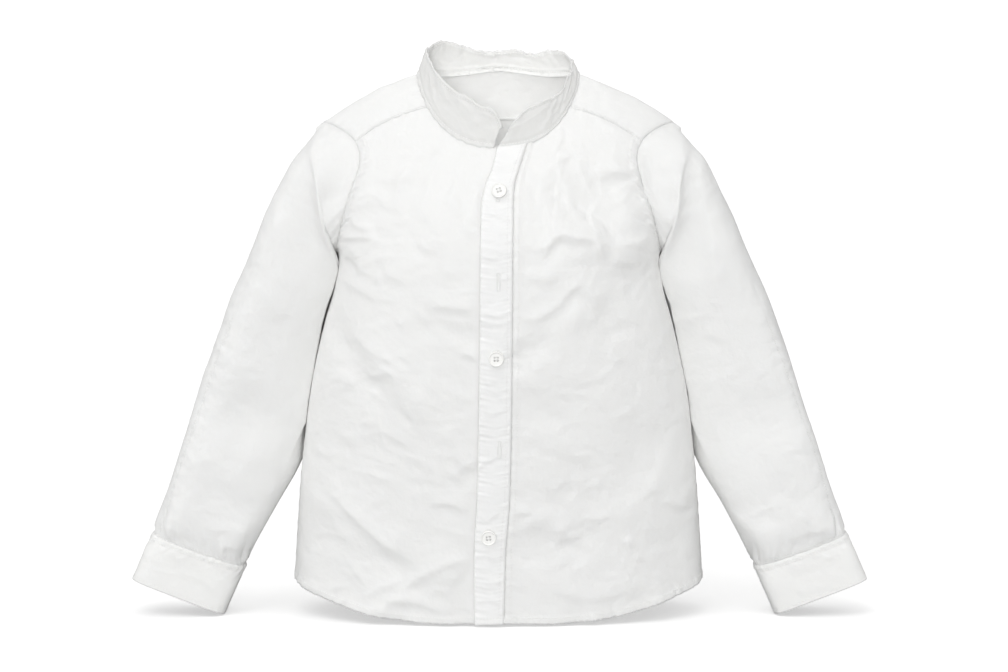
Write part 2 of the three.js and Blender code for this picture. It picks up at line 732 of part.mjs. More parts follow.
// ---- Buttons ----
function buttonGeometry({ radius, thick, edge, hollow, rim, hole, spacing }) {
  const profile = [
    [0, 0],
    [radius - edge, 0],
    [radius, edge],
    [radius, thick - edge],
    [radius - rim / 2, thick],
    [radius - rim, thick - hollow],
    [0, thick - hollow],
  ].map(([x, y]) => new THREE.Vector2(x, y));
  let button = solid(new THREE.LatheGeometry(profile, BUTTON_SIDES));
  for (let k = 0; k < BUTTON_HOLES; k += 1) {
    const drill = new THREE.CylinderGeometry(hole, hole, thick * 3, HOLE_SIDES);
    const turn = radians(((k + 0.5) * 360) / BUTTON_HOLES);
    drill.translate(spacing * Math.cos(turn), 0, spacing * Math.sin(turn));
    button = button.subtract(solid(drill));
  }
  const { vertProperties, triVerts } = button.getMesh();
  const geometry = new THREE.BufferGeometry();
  geometry.setAttribute('position', new THREE.BufferAttribute(vertProperties, 3));
  geometry.setIndex(new THREE.BufferAttribute(triVerts, 1));
  return geometry;
}

function solid(geometry) {
  geometry.deleteAttribute('normal');
  geometry.deleteAttribute('uv');
  const merged = mergeVertices(geometry, 1e-4);
  return new wasm.Manifold(new wasm.Mesh({
    numProp: 3,
    vertProperties: new Float32Array(merged.attributes.position.array),
    triVerts: new Uint32Array(merged.index.array),
  }));
}

// A button whose back lies at a point, facing along a normal.
function placeButton(name, size, point, normal) {
  const button = piece(name, buttonGeometry(size), BUTTON_COLOUR);
  button.quaternion.setFromUnitVectors(new THREE.Vector3(0, 1, 0), normal);
  button.position.copy(point).addScaledVector(normal, LIE);
  return button;
}

// ---- Cuff slits: a narrow binding above each cuff, and the button on the cuff's lap ----
const SLIT = { angle: 262, width: 13, row: 11.2, wall: 1.2, lie: 0.7 }; // down to the cuff seam
function buildSleevePlacket(side, name, sleeve) {
  const { outer, normals } = sleeve;
  const last = outer.length - 1.1;
  const ring = (at, angle, grid) => {
    const i = Math.min(outer.length - 2, Math.floor(at));
    const j = Math.floor(angle / STATION);
    const part = angle / STATION - j;
    const upper = along(grid[i][j], grid[i][(j + 1) % RING], part);
    const lower = along(grid[i + 1][j], grid[i + 1][(j + 1) % RING], part);
    return along(upper, lower, at - i);
  };
  const strip = (lift) => steps(4).map((share) => steps(2).map((part) => {
    const at = mix(SLIT.row, last, share);
    const angle = SLIT.angle + SLIT.width * (part - 0.5);
    return ring(at, angle, outer).addScaledVector(ring(at, angle, normals).normalize(), lift);
  }));
  return wall(name, strip(SLIT.lie + SLIT.wall), strip(SLIT.lie), false, BAND_COLOUR);
}

function buildCuffButton(side, name, spread) {
  const row = Object.fromEntries(Object.keys(CUFF[1]).map((key) => {
    return [key, (CUFF[1][key] + CUFF[2][key]) / 2];
  }));
  const spot = ringPoint(row, CUFF_LAP.start + ON_LAP, side, spread, 0);
  const normal = new THREE.Vector3(0, 1, 0);
  spot.y += CUFF_WALL + CUFF_LAP_GAP + LIE;
  return placeButton(name, CUFF_BUTTON, spot, normal);
}

// The buttons that show on the placket.
const FRONT_BUTTONS = table(
  ['name', 'across', 'height'],
  ['front_button_1', 0.4, -83.4],
  ['front_button_2', -1.5, -203.5],
  ['front_button_3', -7.2, -338.8]
);
const BUTTON_LIFT = 0.4; // the placket is curved under a flat button
function buildFrontButtons() {
  return FRONT_BUTTONS.map(({ name, across, height }) => {
    const spot = onTorso(across, height, -1);
    const normal = torsoNormal(spot);
    const face = lifted(spot, PLACKET_LIE + PLACKET_WALL);
    return placeButton(name, BUTTON, face.addScaledVector(normal, BUTTON_LIFT), normal);
  });
}

// The left front ends beside the placket, and the right front's button stand ends beneath it.
const leftEdge = (z) => placketEdge('left', z) + SEAM;
const STAND = { reach: 9, inset: 2.5 };
const standEdge = (z) => Math.min(STAND.reach, placketEdge('left', z) - STAND.inset);

export default (() => {
  const shirt = new THREE.Group();
  shirt.add(buildFront(-1, 'front_right', standEdge));
  shirt.add(buildFront(1, 'front_left', leftEdge));
  shirt.add(buildPlacket());
  shirt.add(buildBack());
  shirt.add(buildYoke());
  shirt.add(buildCollar());
  for (const [side, name] of [[-1, 'right'], [1, 'left']]) {
    const spread = SLEEVE_SPREAD[name];
    const sleeve = buildSleeve(side, `sleeve_${name}`, spread);
    shirt.add(sleeve.mesh);
    shirt.add(buildSleevePlacket(side, `sleeve_placket_${name}`, sleeve));
    shirt.add(buildCuff(side, `cuff_${name}`, spread));
    shirt.add(buildCuffButton(side, `cuff_button_${name}`, spread));
  }
  shirt.add(...buildFrontButtons());
  return shirt;
})();
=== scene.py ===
import bmesh
import bpy
import numpy as np
from mathutils import Matrix, Vector


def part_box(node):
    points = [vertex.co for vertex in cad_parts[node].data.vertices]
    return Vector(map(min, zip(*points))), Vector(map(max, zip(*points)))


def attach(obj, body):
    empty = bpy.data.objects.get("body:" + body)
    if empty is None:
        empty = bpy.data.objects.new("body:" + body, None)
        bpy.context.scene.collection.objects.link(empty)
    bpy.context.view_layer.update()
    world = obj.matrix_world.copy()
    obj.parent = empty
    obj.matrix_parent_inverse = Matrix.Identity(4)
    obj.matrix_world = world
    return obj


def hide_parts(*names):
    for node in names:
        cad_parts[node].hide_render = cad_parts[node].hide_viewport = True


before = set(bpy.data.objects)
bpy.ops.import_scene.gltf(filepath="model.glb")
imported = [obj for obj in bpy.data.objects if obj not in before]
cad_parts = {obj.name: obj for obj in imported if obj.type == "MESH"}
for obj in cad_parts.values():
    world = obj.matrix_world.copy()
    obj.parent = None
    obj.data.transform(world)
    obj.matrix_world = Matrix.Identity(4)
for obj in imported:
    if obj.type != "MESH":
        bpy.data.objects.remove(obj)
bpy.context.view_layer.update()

# ---------------------------------------------------------------------------------------------
# Wearer's right front: one panel of plain-woven white cotton with a button stand that runs under
# the placket. It is sewn to the yoke, the sleeve and the back, and hemmed in a shirt-tail curve.
# ---------------------------------------------------------------------------------------------

# Level sections of the body in millimetres: height, half width, depth in front, depth behind and
# squareness. The front faces -Y and the wearer's left is +X.
BODY_SECTIONS = np.array([
    (-425, 157.5, 58, 56, 2.2), (-385, 156.5, 62, 59, 2.2), (-345, 154, 66, 62, 2.2),
    (-305, 151, 70, 65, 2.25), (-272, 147.5, 73, 68, 2.3), (-243, 144, 76, 71, 2.3),
    (-205, 136.5, 79, 75, 2.35), (-181, 130.5, 80, 78, 2.4), (-160, 124.5, 80, 80, 2.4),
    (-134, 121, 79, 82, 2.4), (-85, 133, 76, 83, 2.4), (-49, 137, 73, 81, 2.4),
    (0, 140, 70, 76, 2.4), (20, 140, 68, 74, 2.4),
])
HEM_CURVE = np.array([
    (0, -406.5), (45, -407), (84, -404), (105, -399.5), (120, -395.5), (134, -391),
    (145, -387.5), (155, -383),
])
NECK_HALF, NECK_FRONT, NECK_BACK = 60.5, 46, 40  # plan of the neck seam
YOKE_CORNER = 60  # degrees round the neck from its front to the yoke's front seam
ARMHOLE_MIDDLE, ARMHOLE_RISE, ARMHOLE_FRONT, ARMHOLE_BACK = -84, 49.5, 38, 41
FRONT_STATION, BACK_STATION = 45, -60  # where the yoke meets the armhole, in degrees from its top
SEAM = 0.05
HALF_GAP = SEAM / 2
SEAM_HALF_OPEN = 0.02  # half the gap between two panels at a side seam
CLOTH = 0.8  # wall of a single piece


def mix(low, high, share):
    return low + (high - low) * share


def smooth(value, low, high):
    share = np.clip((value - low) / (high - low), 0, 1)
    return share * share * (3 - 2 * share)


def bell(distance, width):
    return np.exp(-((distance / width) ** 2))


# A smooth curve from a start to an end, which leaves and arrives at the slopes given.
def curve(t, start, end, leave, arrive):
    bend = (2 * t**3 - 3 * t**2 + 1) * start + (3 * t**2 - 2 * t**3) * end
    return bend + (t**3 - 2 * t**2 + t) * leave + (t**3 - t**2) * arrive


# The value of a column between a table's rows, on a smooth curve through them.
def read(rows, column, at):
    keys, values = rows[:, 0], rows[:, column]
    slopes = np.empty(len(rows))
    slopes[1:-1] = (values[2:] - values[:-2]) / (keys[2:] - keys[:-2])
    slopes[0] = (values[1] - values[0]) / (keys[1] - keys[0])
    slopes[-1] = (values[-1] - values[-2]) / (keys[-1] - keys[-2])
    at = np.clip(at, keys[0], keys[-1])
    k = np.clip(np.searchsorted(keys, at, side="right") - 1, 0, len(rows) - 2)
    span = keys[k + 1] - keys[k]
    return curve((at - keys[k]) / span, values[k], values[k + 1], slopes[k] * span,
                 slopes[k + 1] * span)


# The line of the shoulders: a rise at the neck, and a drop that starts SHOULDER_START out.
NECK_RISE, NECK_RISE_WIDTH = 14, 45
SHOULDER_START, SHOULDER_SPAN, SHOULDER_DROP, SHOULDER_BEND = 50, 81, 34, 1.65
def shoulder_line(x):
    out = np.maximum(0, np.abs(x) - SHOULDER_START) / SHOULDER_SPAN
    return NECK_RISE * bell(x, NECK_RISE_WIDTH) - SHOULDER_DROP * out**SHOULDER_BEND


# How the body rounds over to the shoulder line: the height that it takes, and its fullness.
FRONT_DROP, BACK_DROP, FULLNESS_WIDTH = 140, 110, 110
def rounding(x, face):
    out = np.abs(x / FULLNESS_WIDTH)
    if face < 0:
        return FRONT_DROP, 1.05 + 0.75 * out**2
    return BACK_DROP, np.maximum(1.9, 3.2 - 1.2 * out)


def side_curve(z):
    return read(BODY_SECTIONS, 1, z), read(BODY_SECTIONS, 4, z)


def side_rounding(x, z):
    half, power = side_curve(z)
    return np.maximum(0, 1 - (np.abs(x) / half) ** power) ** (1 / power)


def level_depth(x, z, face):
    return read(BODY_SECTIONS, 2 if face < 0 else 3, z) * side_rounding(x, z)


# How far the cloth stands before (face -1) or behind (face 1) the side seams.
SHOULDER_CURVE = 1.5
def depth(x, z, face):
    drop, bulge = rounding(x, face)
    below = np.clip((shoulder_line(x) - z) / drop, 0, 1)
    return level_depth(x, z, face) * (1 - (1 - below) ** SHOULDER_CURVE) ** (1 / bulge)


# The height at which the cloth is |y| deep, near the shoulder line.
def height_at(x, y):
    heights = []
    for face in (-1, 1):
        drop, bulge = rounding(x, face)
        z = shoulder_line(x)
        for _ in range(12):
            share = np.minimum(1, np.abs(y) / np.maximum(level_depth(x, z, face), 1e-6))
            z = shoulder_line(x) - drop * (1 - (1 - share**bulge) ** (1 / SHOULDER_CURVE))
        heights.append(z)
    return np.where(y < 0, *heights)


def depth_both(x, z, y):
    return np.where(y < 0, depth(x, z, -1), depth(x, z, 1))


# The way that the plain form of the body faces; level and sideways at the side seams.
def body_normal(points):
    x, y, z = points[..., 0], points[..., 1], points[..., 2]
    step = 0.4
    by_x = (depth_both(x + step, z, y) - depth_both(x - step, z, y)) / (2 * step)
    by_z = (depth_both(x, z + step, y) - depth_both(x, z - step, y)) / (2 * step)
    face = np.where(y < 0, -1.0, 1.0) * smooth(np.abs(y), 0, 3)
    normal = np.stack([-by_x, face, -by_z], axis=-1)
    return normal / np.linalg.norm(normal, axis=-1, keepdims=True)


def on_body(x, z, face):
    return np.stack([x, face * depth(x, z, face), z], axis=-1)


# The broad folds of the body: from (x1, z1) to (x2, z2), with width and height.
FRONT_FOLDS = np.array([
    (-122, -186, -92, -225, 11, -2.2), (-96, -205, -62, -233, 12, 2.2),
    (-52, -182, -18, -188, 10, -1.8), (-128, -318, -92, -352, 13, 2.4),
    (-94, -356, -56, -382, 12, -2.2), (-104, -404, -42, -372, 12, 2.2),
    (14, -206, 44, -184, 9, -2.6), (44, -184, 66, -164, 10, 2.8),
    (66, -164, 84, -184, 9, -2.2), (34, -146, 58, -127, 12, 2.2),
    (58, -132, 104, -148, 13, -2.2), (22, -106, 104, -134, 14, 1.8),
    (16, -352, 62, -346, 12, -1.8), (70, -80, 104, -88, 11, -1.8),
])
BACK_FOLDS = np.array([
    (-112, -150, -60, -196, 13, -2.4), (-70, -172, -20, -205, 13, 2.2),
    (30, -196, 92, -158, 13, 2.4), (52, -222, 118, -196, 12, -2.4),
    (-120, -300, -64, -350, 14, 2.2), (-50, -338, 10, -372, 14, -2),
    (40, -356, 104, -318, 13, 2.2), (-88, -92, -40, -112, 12, -1.8),
    (34, -104, 90, -90, 12, 1.8),
])


def broad_folds(points):
    x, y, z = points[..., 0], points[..., 1], points[..., 2]
    total = np.zeros(x.shape)
    for folds, here in ((FRONT_FOLDS, y < 0), (BACK_FOLDS, y >= 0)):
        for x1, z1, x2, z2, width, height in folds:
            length = np.hypot(x2 - x1, z2 - z1)
            dx, dz = (x2 - x1) / length, (z2 - z1) / length
            forward = (x - x1) * dx + (z - z1) * dz
            aside = (z - z1) * dx - (x - x1) * dz
            past = np.maximum(0, np.maximum(-forward, forward - length))
            total += np.where(here, height * bell(aside, width) * bell(past, width), 0)
    return total * smooth(np.abs(y), 12, 34)


# A crease is a steep little drop along a curved line, with a long soft slope away on its left.
# Each row gives its depth, its width and the points that it passes, across and up the panel.
SLOPE, CREST, HOLLOW = 3.4, 1.15, 0.4  # length of the slope, and heights of crest and hollow
def crease(rows, x, z):
    total = np.zeros(x.shape)
    for deep, width, *stops in rows:
        stops = np.array(stops, float)
        key = np.arange(len(stops), dtype=float)
        fine = np.linspace(0, len(stops) - 1, 4 * (len(stops) - 1) + 1)
        line = np.stack([read(np.column_stack([key, stops]), k, fine) for k in (1, 2)], axis=-1)
        reach = 5 * abs(width)
        low, high = line.min(0) - reach, line.max(0) + reach
        near = (x > low[0]) & (x < high[0]) & (z > low[1]) & (z < high[1])
        if not near.any():
            continue
        px, pz = x[near], z[near]
        nearest = np.full(px.shape, 1e9)
        aside = np.zeros(px.shape)
        forward = np.zeros(px.shape)
        gone = 0.0
        for (ax, az), (bx, bz) in zip(line[:-1], line[1:]):
            length = max(1e-6, np.hypot(bx - ax, bz - az))
            dx, dz = (bx - ax) / length, (bz - az) / length
            run = (px - ax) * dx + (pz - az) * dz
            held = np.clip(run, 0, length)
            away = np.hypot(px - ax - held * dx, pz - az - held * dz)
            closer = away < nearest
            side = (pz - az) * dx - (px - ax) * dz
            aside = np.where(closer, side, aside)
            forward = np.where(closer, gone + run, forward)
            nearest = np.where(closer, away, nearest)
            gone += length
        taper = max(width * 1.5, 0.3 * gone)
        ends = smooth(forward, -width, taper) * smooth(gone - forward, -width, taper)
        off = aside / width - 1
        off = np.sqrt((off / np.where(off > 0, SLOPE, 1.0)) ** 2 + 0.1) - 0.316
        valley = bell(aside / width + 1.2, 1.5)
        total[near] += deep * ends * (CREST * np.exp(-1.7 * off) - HOLLOW * valley)
    return total


# Smooth random values between -1 and 1, `size` millimetres from one to the next.
def cloudy(x, z, size, seed):
    lattice = np.random.default_rng(seed).uniform(-1, 1, (64, 64))
    u, v = x / size + 32, z / size + 32
    i, j = np.floor(u).astype(int), np.floor(v).astype(int)
    s, t = smooth(u - i, 0, 1), smooth(v - j, 0, 1)
    low = mix(lattice[i % 64, j % 64], lattice[(i + 1) % 64, j % 64], s)
    high = mix(lattice[i % 64, (j + 1) % 64], lattice[(i + 1) % 64, (j + 1) % 64], s)
    return mix(low, high, t)


# Crumpling of washed cotton: sharp ridges that branch between soft hollows, at three sizes. They
# run mostly along `way`, in degrees, and some places are calm.
def crumpled(x, z, size, seed, way=-25.0):
    turn = np.radians(way)
    along, over = x * np.cos(turn) + z * np.sin(turn), z * np.cos(turn) - x * np.sin(turn)
    along, over = (along + 0.45 * size * cloudy(x, z, size, seed + 1),
                   over + 0.45 * size * cloudy(x, z, size, seed + 2))
    total, deep = np.zeros(x.shape), 0.0255 * size
    for k in range(3):
        ridge = 1 - np.abs(cloudy(along / 1.7, over, size / 2**k, seed + 3 + k))
        total += deep * ridge**3.2
        deep *= 0.5
    return total * (0.45 + 0.55 * smooth(cloudy(x, z, 70, seed + 9), -0.4, 0.6))


# Small creases strewn over a panel, thicker in some places than in others.
def crumples(x, z, box, count, seed, strength=1.0):
    rng = np.random.default_rng(seed)
    spots = rng.uniform((box[0], box[2]), (box[1], box[3]), (max(3, count // 14), 2))
    rows = []
    for _ in range(count):
        if rng.random() < 0.65:
            start = spots[rng.integers(len(spots))] + rng.normal(0, 20, 2)
        else:
            start = rng.uniform((box[0], box[2]), (box[1], box[3]))
        turn = rng.normal(0, 0.75)
        length = rng.uniform(9, 36)
        way = np.array([np.cos(turn), np.sin(turn)]) * rng.choice((-1, 1))
        aside = np.array([-way[1], way[0]]) * rng.uniform(-0.25, 0.25) * length
        stops = (start, start + way * length / 2 + aside, start + way * length)
        width = rng.uniform(1.1, 2.2)
        rows.append((strength * rng.uniform(0.07, 0.15) * width, width, *stops))
    return crease(rows, x, z)


# Slow unevenness of the cloth, from a handful of long waves.
def unevenness(x, z, size, seed):
    rng = np.random.default_rng(seed)
    total = np.zeros(x.shape)
    for _ in range(7):
        turn = rng.uniform(0, np.pi)
        wave = size * rng.uniform(0.7, 1.8)
        phase = rng.uniform(0, 2 * np.pi)
        total += np.sin(2 * np.pi * (x * np.cos(turn) + z * np.sin(turn)) / wave + phase)
    return total / 4


# The little waves that stitching draws up along an edge: `run` is the way along the edge.
def pucker(run, wave, seed):
    rng = np.random.default_rng(seed)
    total = np.zeros(np.shape(run))
    for _ in range(6):
        length = wave * rng.uniform(0.6, 1.7)
        total += rng.uniform(0.5, 1) * np.sin(2 * np.pi * run / length + rng.uniform(0, 6.3))
    return total / 2.4


# How far out from the middle the body comes at a depth and a height.
def reach_at(y, z):
    near, far = np.full(np.shape(y), 60.0), np.full(np.shape(y), 160.0)
    for _ in range(36):
        middle = (near + far) / 2
        inside = depth_both(middle, z, y) > np.abs(y)
        near, far = np.where(inside, middle, near), np.where(inside, far, middle)
    return near


# A point of an armhole, with its angle from the top by the front; `grow` widens the hole.
def armhole(angle, side, grow=0.0):
    forward = np.sin(np.radians(angle))
    reach = np.where(forward > 0, ARMHOLE_FRONT, ARMHOLE_BACK)
    y = -(reach + grow) * forward
    z = ARMHOLE_MIDDLE + (ARMHOLE_RISE + grow) * np.cos(np.radians(angle))
    return np.stack([side * reach_at(y, z), y, z], axis=-1)


# A point of the neck seam, with its angle from the front by the wearer's left.
def neck(angle, grow=0.0):
    turn = np.cos(np.radians(angle))
    x = (NECK_HALF + grow) * np.sin(np.radians(angle))
    y = -(np.where(turn > 0, NECK_FRONT, NECK_BACK) + grow) * turn
    return np.stack([x, y, height_at(x, y)], axis=-1)


def hem_height(x):
    return read(HEM_CURVE, 1, np.abs(x))


# How far round the body a point lies: 0 at the middle and 1 at the side seam.
def turn_at(x, z):
    half, power = side_curve(z)
    return np.arcsin(np.minimum(1, np.abs(x) / half) ** (power / 2)) * 2 / np.pi


# A panel's side edge, as how far round the body it lies: the side seam, then the armhole.
ARMHOLE_FOOT = -134
def edge_turns(face):
    heights = np.linspace(ARMHOLE_FOOT, -30, 500)
    ratio = np.clip((heights - ARMHOLE_MIDDLE) / (ARMHOLE_RISE + HALF_GAP), -1, 1)
    angle = np.degrees(np.arccos(ratio))
    edge = armhole(angle if face < 0 else -angle, 1, HALF_GAP)
    turns = turn_at(edge[:, 0], heights)
    turns[ratio <= -1] = 1
    return heights, turns


# One half of a front or a back as rows from the hem to its top edge.
def hanging_panel(tops, rows, face, side, centre):
    def signed(turn, x):
        return np.where(side * x < 0, -turn, turn)

    edge_heights, edges = edge_turns(face)
    turns = signed(turn_at(tops[:, 0], tops[:, 2]), tops[:, 0])
    starts = centre(tops[:, 2])
    starts = signed(turn_at(starts, tops[:, 2]), starts)
    share = (turns - starts) / (turns[-1] - starts)
    rise = np.linspace(0, 1, rows)[:, None]
    x = np.tile(tops[:, 0], (rows, 1))
    for _ in range(6):
        z = mix(hem_height(x), tops[:, 2], rise)
        start = signed(turn_at(centre(z), z), centre(z))
        end = np.interp(np.minimum(z, tops[-1, 2]), edge_heights, edges)
        end = np.where(z < ARMHOLE_FOOT, 1, end)
        turn = mix(start, end, share)
        half, power = side_curve(z)
        across = half * np.sin(np.minimum(1, np.abs(turn)) * np.pi / 2) ** (2 / power)
        x = side * np.sign(turn) * np.minimum(across, half - 1e-6)
    points = on_body(x, z, face)
    points[..., 1] = face * np.maximum(np.abs(points[..., 1]), SEAM_HALF_OPEN)
    points[-1] = tops
    return points


# Distances along the rows and up the columns of a grid of points, from its first corner.
def spans(grid):
    across = np.linalg.norm(np.diff(grid, axis=1), axis=-1)
    up = np.linalg.norm(np.diff(grid, axis=0), axis=-1)
    across = np.pad(np.cumsum(across, axis=1), ((0, 0), (1, 0)))
    up = np.pad(np.cumsum(up, axis=0), ((1, 0), (0, 0)))
    return across, up


# Carries a grid on past its last row, under the piece that it is sewn to: `sink` is how far below
# its own face it passes.
def tucked(grid, normals, length, sink):
    onward = grid[-1] - grid[-3]
    onward /= np.maximum(np.linalg.norm(onward, axis=-1, keepdims=True), 1e-9)
    more = [grid[-1] + onward * length * share - normals[-1] * sink * smooth(share, 0, 0.6)
            for share in (0.2, 0.5, 1.0)]
    return np.concatenate([grid, more])


# Unit normals of a grid, turned to the side on which `outward` lies.
def grid_normals(grid, outward, ring=False):
    if ring:
        padded = np.concatenate([grid[:, -2:-1], grid, grid[:, 1:2]], axis=1)
        by_column = np.gradient(padded, axis=1)[:, 1:-1]
    else:
        by_column = np.gradient(grid, axis=1)
    normal = np.cross(by_column, np.gradient(grid, axis=0))
    normal /= np.maximum(np.linalg.norm(normal, axis=-1, keepdims=True), 1e-9)
    return normal * np.where((normal * outward).sum(-1, keepdims=True) < 0, -1, 1)


def make_object(name, shape):
    mesh = bpy.data.meshes.new(name)
    shape.to_mesh(mesh)
    shape.free()
    made = bpy.data.objects.new(name, mesh)
    bpy.context.scene.collection.objects.link(made)
    return made


# Sews a grid of points into a piece of cloth: its vertices are moved from a flat square grid, its
# UV map is the flat cut in metres, and its wall goes inwards from the face that shows.
def sew(name, grid, outward, wall, material):
    rows, columns = grid.shape[:2]
    sheet = bmesh.new()
    bmesh.ops.create_grid(sheet, x_segments=columns - 1, y_segments=rows - 1, size=1)
    across, up = spans(grid)
    flat = np.stack([across - across[:, columns // 2][:, None], up], axis=-1) / 1000
    place = {vertex: (round((vertex.co.y + 1) / 2 * (rows - 1)),
                      round((vertex.co.x + 1) / 2 * (columns - 1))) for vertex in sheet.verts}
    cut = sheet.loops.layers.uv.new("cut")
    for face in sheet.faces:
        face.smooth = True
        for loop in face.loops:
            loop[cut].uv = flat[place[loop.vert]]
    for vertex in sheet.verts:
        vertex.co = grid[place[vertex]] / 1000
    bmesh.ops.remove_doubles(sheet, verts=sheet.verts, dist=1e-6)
    i, j = rows // 2, columns // 2
    lie = np.cross(grid[i, j + 1] - grid[i, j], grid[i + 1, j] - grid[i, j])
    if lie @ outward[i, j] < 0:
        bmesh.ops.reverse_faces(sheet, faces=sheet.faces)
    piece = make_object(name, sheet)
    piece.data.materials.append(material)
    thick = piece.modifiers.new("wall", "SOLIDIFY")
    thick.thickness = wall / 1000
    thick.offset = -1
    return piece


# Points or normals of a grid at places given as its rows and columns, with fractions.
def sample(grid, row, column):
    row = np.clip(row, 0, grid.shape[0] - 1.001)
    column = np.clip(column, 0, grid.shape[1] - 1.001)
    i, j = row.astype(int), column.astype(int)
    s, t = (row - i)[:, None], (column - j)[:, None]
    upper = mix(grid[i, j], grid[i, j + 1], t)
    lower = mix(grid[i + 1, j], grid[i + 1, j + 1], t)
    return mix(upper, lower, s)


# One small lump of thread: a ball that is stretched along three axes.
def lump(thread, centre, axes, subdivisions=1):
    rows = [[axis[k] for axis in axes] + [centre[k]] for k in range(3)]
    bmesh.ops.create_icosphere(thread, subdivisions=subdivisions, radius=1,
                               matrix=Matrix(rows + [[0, 0, 0, 1]]))


# One row of machine stitches along a path on a grid: small bars with rounded ends.
STITCH = 2.3  # from one stitch to the next
STITCH_THICK = 0.46
STITCH_PROUD = 0.08
def stitch_row(thread, grid, normals, row, column, seed):
    path, away = sample(grid, row, column), sample(normals, row, column)
    gone = np.concatenate([[0], np.cumsum(np.linalg.norm(np.diff(path, axis=0), axis=-1))])
    count = int(gone[-1] / STITCH)
    rng = np.random.default_rng(seed)
    for at in (np.arange(count) + 0.5) * gone[-1] / max(count, 1):
        length = STITCH * rng.uniform(0.66, 0.8)
        start, end = (Vector([np.interp(at + half * length / 2, gone, path[:, k])
                              for k in range(3)]) for half in (-1, 1))
        tangent = end - start
        if tangent.length < 0.1:
            continue
        tangent.normalize()
        out = Vector([np.interp(at, gone, away[:, k]) for k in range(3)]).normalized()
        side = out.cross(tangent).normalized()
        out = tangent.cross(side)
        lump(thread, (start + end) / 2 + out * STITCH_PROUD,
             (tangent * length / 2, side * STITCH_THICK / 2, out * STITCH_THICK / 2))


# Ends a piece of thread, which is worked in millimetres.
def thread_piece(name, thread):
    bmesh.ops.scale(thread, vec=(0.001, 0.001, 0.001), verts=thread.verts)
    for face in thread.faces:
        face.smooth = True
    piece = make_object(name, thread)
    piece.data.materials.append(THREAD)
    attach(piece, "root")
    return piece


# The rows of a grid that lie a distance in from its first or its last row, one to each column,
# and the same for its columns.
def row_in(grid, distance, last=False):
    up = spans(grid)[1]
    wanted = up[-1] - distance if last else np.full(grid.shape[1], float(distance))
    return np.array([np.interp(wanted[j], up[:, j], np.arange(len(up)))
                     for j in range(grid.shape[1])])


def column_in(grid, distance, last=False):
    return row_in(grid.swapaxes(0, 1), distance, last)


# Gives a node's inputs their values, or the sockets that feed them.
def feed(tree, node, inputs):
    for name, value in inputs.items():
        if isinstance(value, bpy.types.NodeSocket):
            tree.links.new(value, node.inputs[name])
        else:
            node.inputs[name].default_value = value


def add_node(tree, kind, inputs=None, **settings):
    node = tree.nodes.new("ShaderNode" + kind)
    for name, value in settings.items():
        setattr(node, name, value)
    feed(tree, node, inputs or {})
    return node


# A node group: its inputs are numbers with a usual value, or vectors, and its outputs numbers.
def new_group(name, inputs, outputs):
    group = bpy.data.node_groups.new(name, "ShaderNodeTree")
    for label, usual in inputs.items():
        kind = "NodeSocketVector" if usual is None else "NodeSocketFloat"
        socket = group.interface.new_socket(label, in_out="INPUT", socket_type=kind)
        if usual is not None:
            socket.default_value = usual
    for label in outputs:
        group.interface.new_socket(label, in_out="OUTPUT", socket_type="NodeSocketFloat")
    return group, group.nodes.new("NodeGroupInput").outputs, group.nodes.new("NodeGroupOutput")


# Plain weave: threads that pass over and under each other, each a little uneven.
def weave_group():
    group, given, result = new_group("plain_weave", {"Cut": None, "Threads": 1900.0, "Slub": 0.5},
                                     ("Height", "Shade"))

    def maths(kind, *values):
        return add_node(group, "Math", dict(enumerate(values)), operation=kind).outputs[0]

    def drawn_out(scale):
        stretch = add_node(group, "Mapping", {"Scale": scale, "Vector": given["Cut"]})
        noise = {"Scale": 1, "Detail": 2, "Vector": stretch.outputs[0]}
        return add_node(group, "TexNoise", noise).outputs["Fac"]

    split = add_node(group, "SeparateXYZ", {0: given["Cut"]})
    turns = maths("MULTIPLY", given["Threads"], float(np.pi))
    warp = maths("SINE", maths("MULTIPLY", split.outputs[0], turns))
    weft = maths("SINE", maths("MULTIPLY", split.outputs[1], turns))
    over = maths("MULTIPLY_ADD", maths("MULTIPLY", warp, weft), 0.25)
    both = maths("ADD", drawn_out((1500, 90, 1)), drawn_out((80, 1500, 1)))
    slub = maths("MULTIPLY", maths("SUBTRACT", both, 1.0), given["Slub"])
    feed(group, result, {
        "Height": maths("ADD", maths("ADD", over, slub), 0.5),
        "Shade": maths("ADD", maths("MULTIPLY", slub, 0.5), 0.5),
    })
    return group


# Fine crumpling of washed cotton, below what the mesh holds: thin ridges that meet each other.
def crumple_group():
    group, given, result = new_group("fine_crumple", {"Place": None, "Per metre": 60.0},
                                     ("Height",))
    noise = {"Vector": given["Place"], "Scale": given["Per metre"], "Detail": 3}
    ridged = add_node(group, "TexNoise", {**noise, "Roughness": 0.55, "Distortion": 0.4},
                      noise_type="RIDGED_MULTIFRACTAL", normalize=False)
    soft = add_node(group, "TexNoise", noise)
    total = add_node(group, "Math", {0: ridged.outputs["Fac"], 1: 0.35, 2: soft.outputs["Fac"]},
                     operation="MULTIPLY_ADD")
    feed(group, result, {"Height": total.outputs[0]})
    return group


PLAIN_WEAVE = weave_group()
FINE_CRUMPLE = crumple_group()


def new_material(name):
    material = bpy.data.materials.new(name)
    material.use_nodes = True
    return material, material.node_tree, material.node_tree.nodes["Principled BSDF"]


def blend(tree, low, high, share):
    made = add_node(tree, "Mix", {"A": low, "B": high, "Factor": share}, data_type="RGBA")
    return made.outputs["Result"]


def roughness(tree, low, high, share):
    return add_node(tree, "MapRange", {"To Min": low, "To Max": high, "Value": share}).outputs[0]


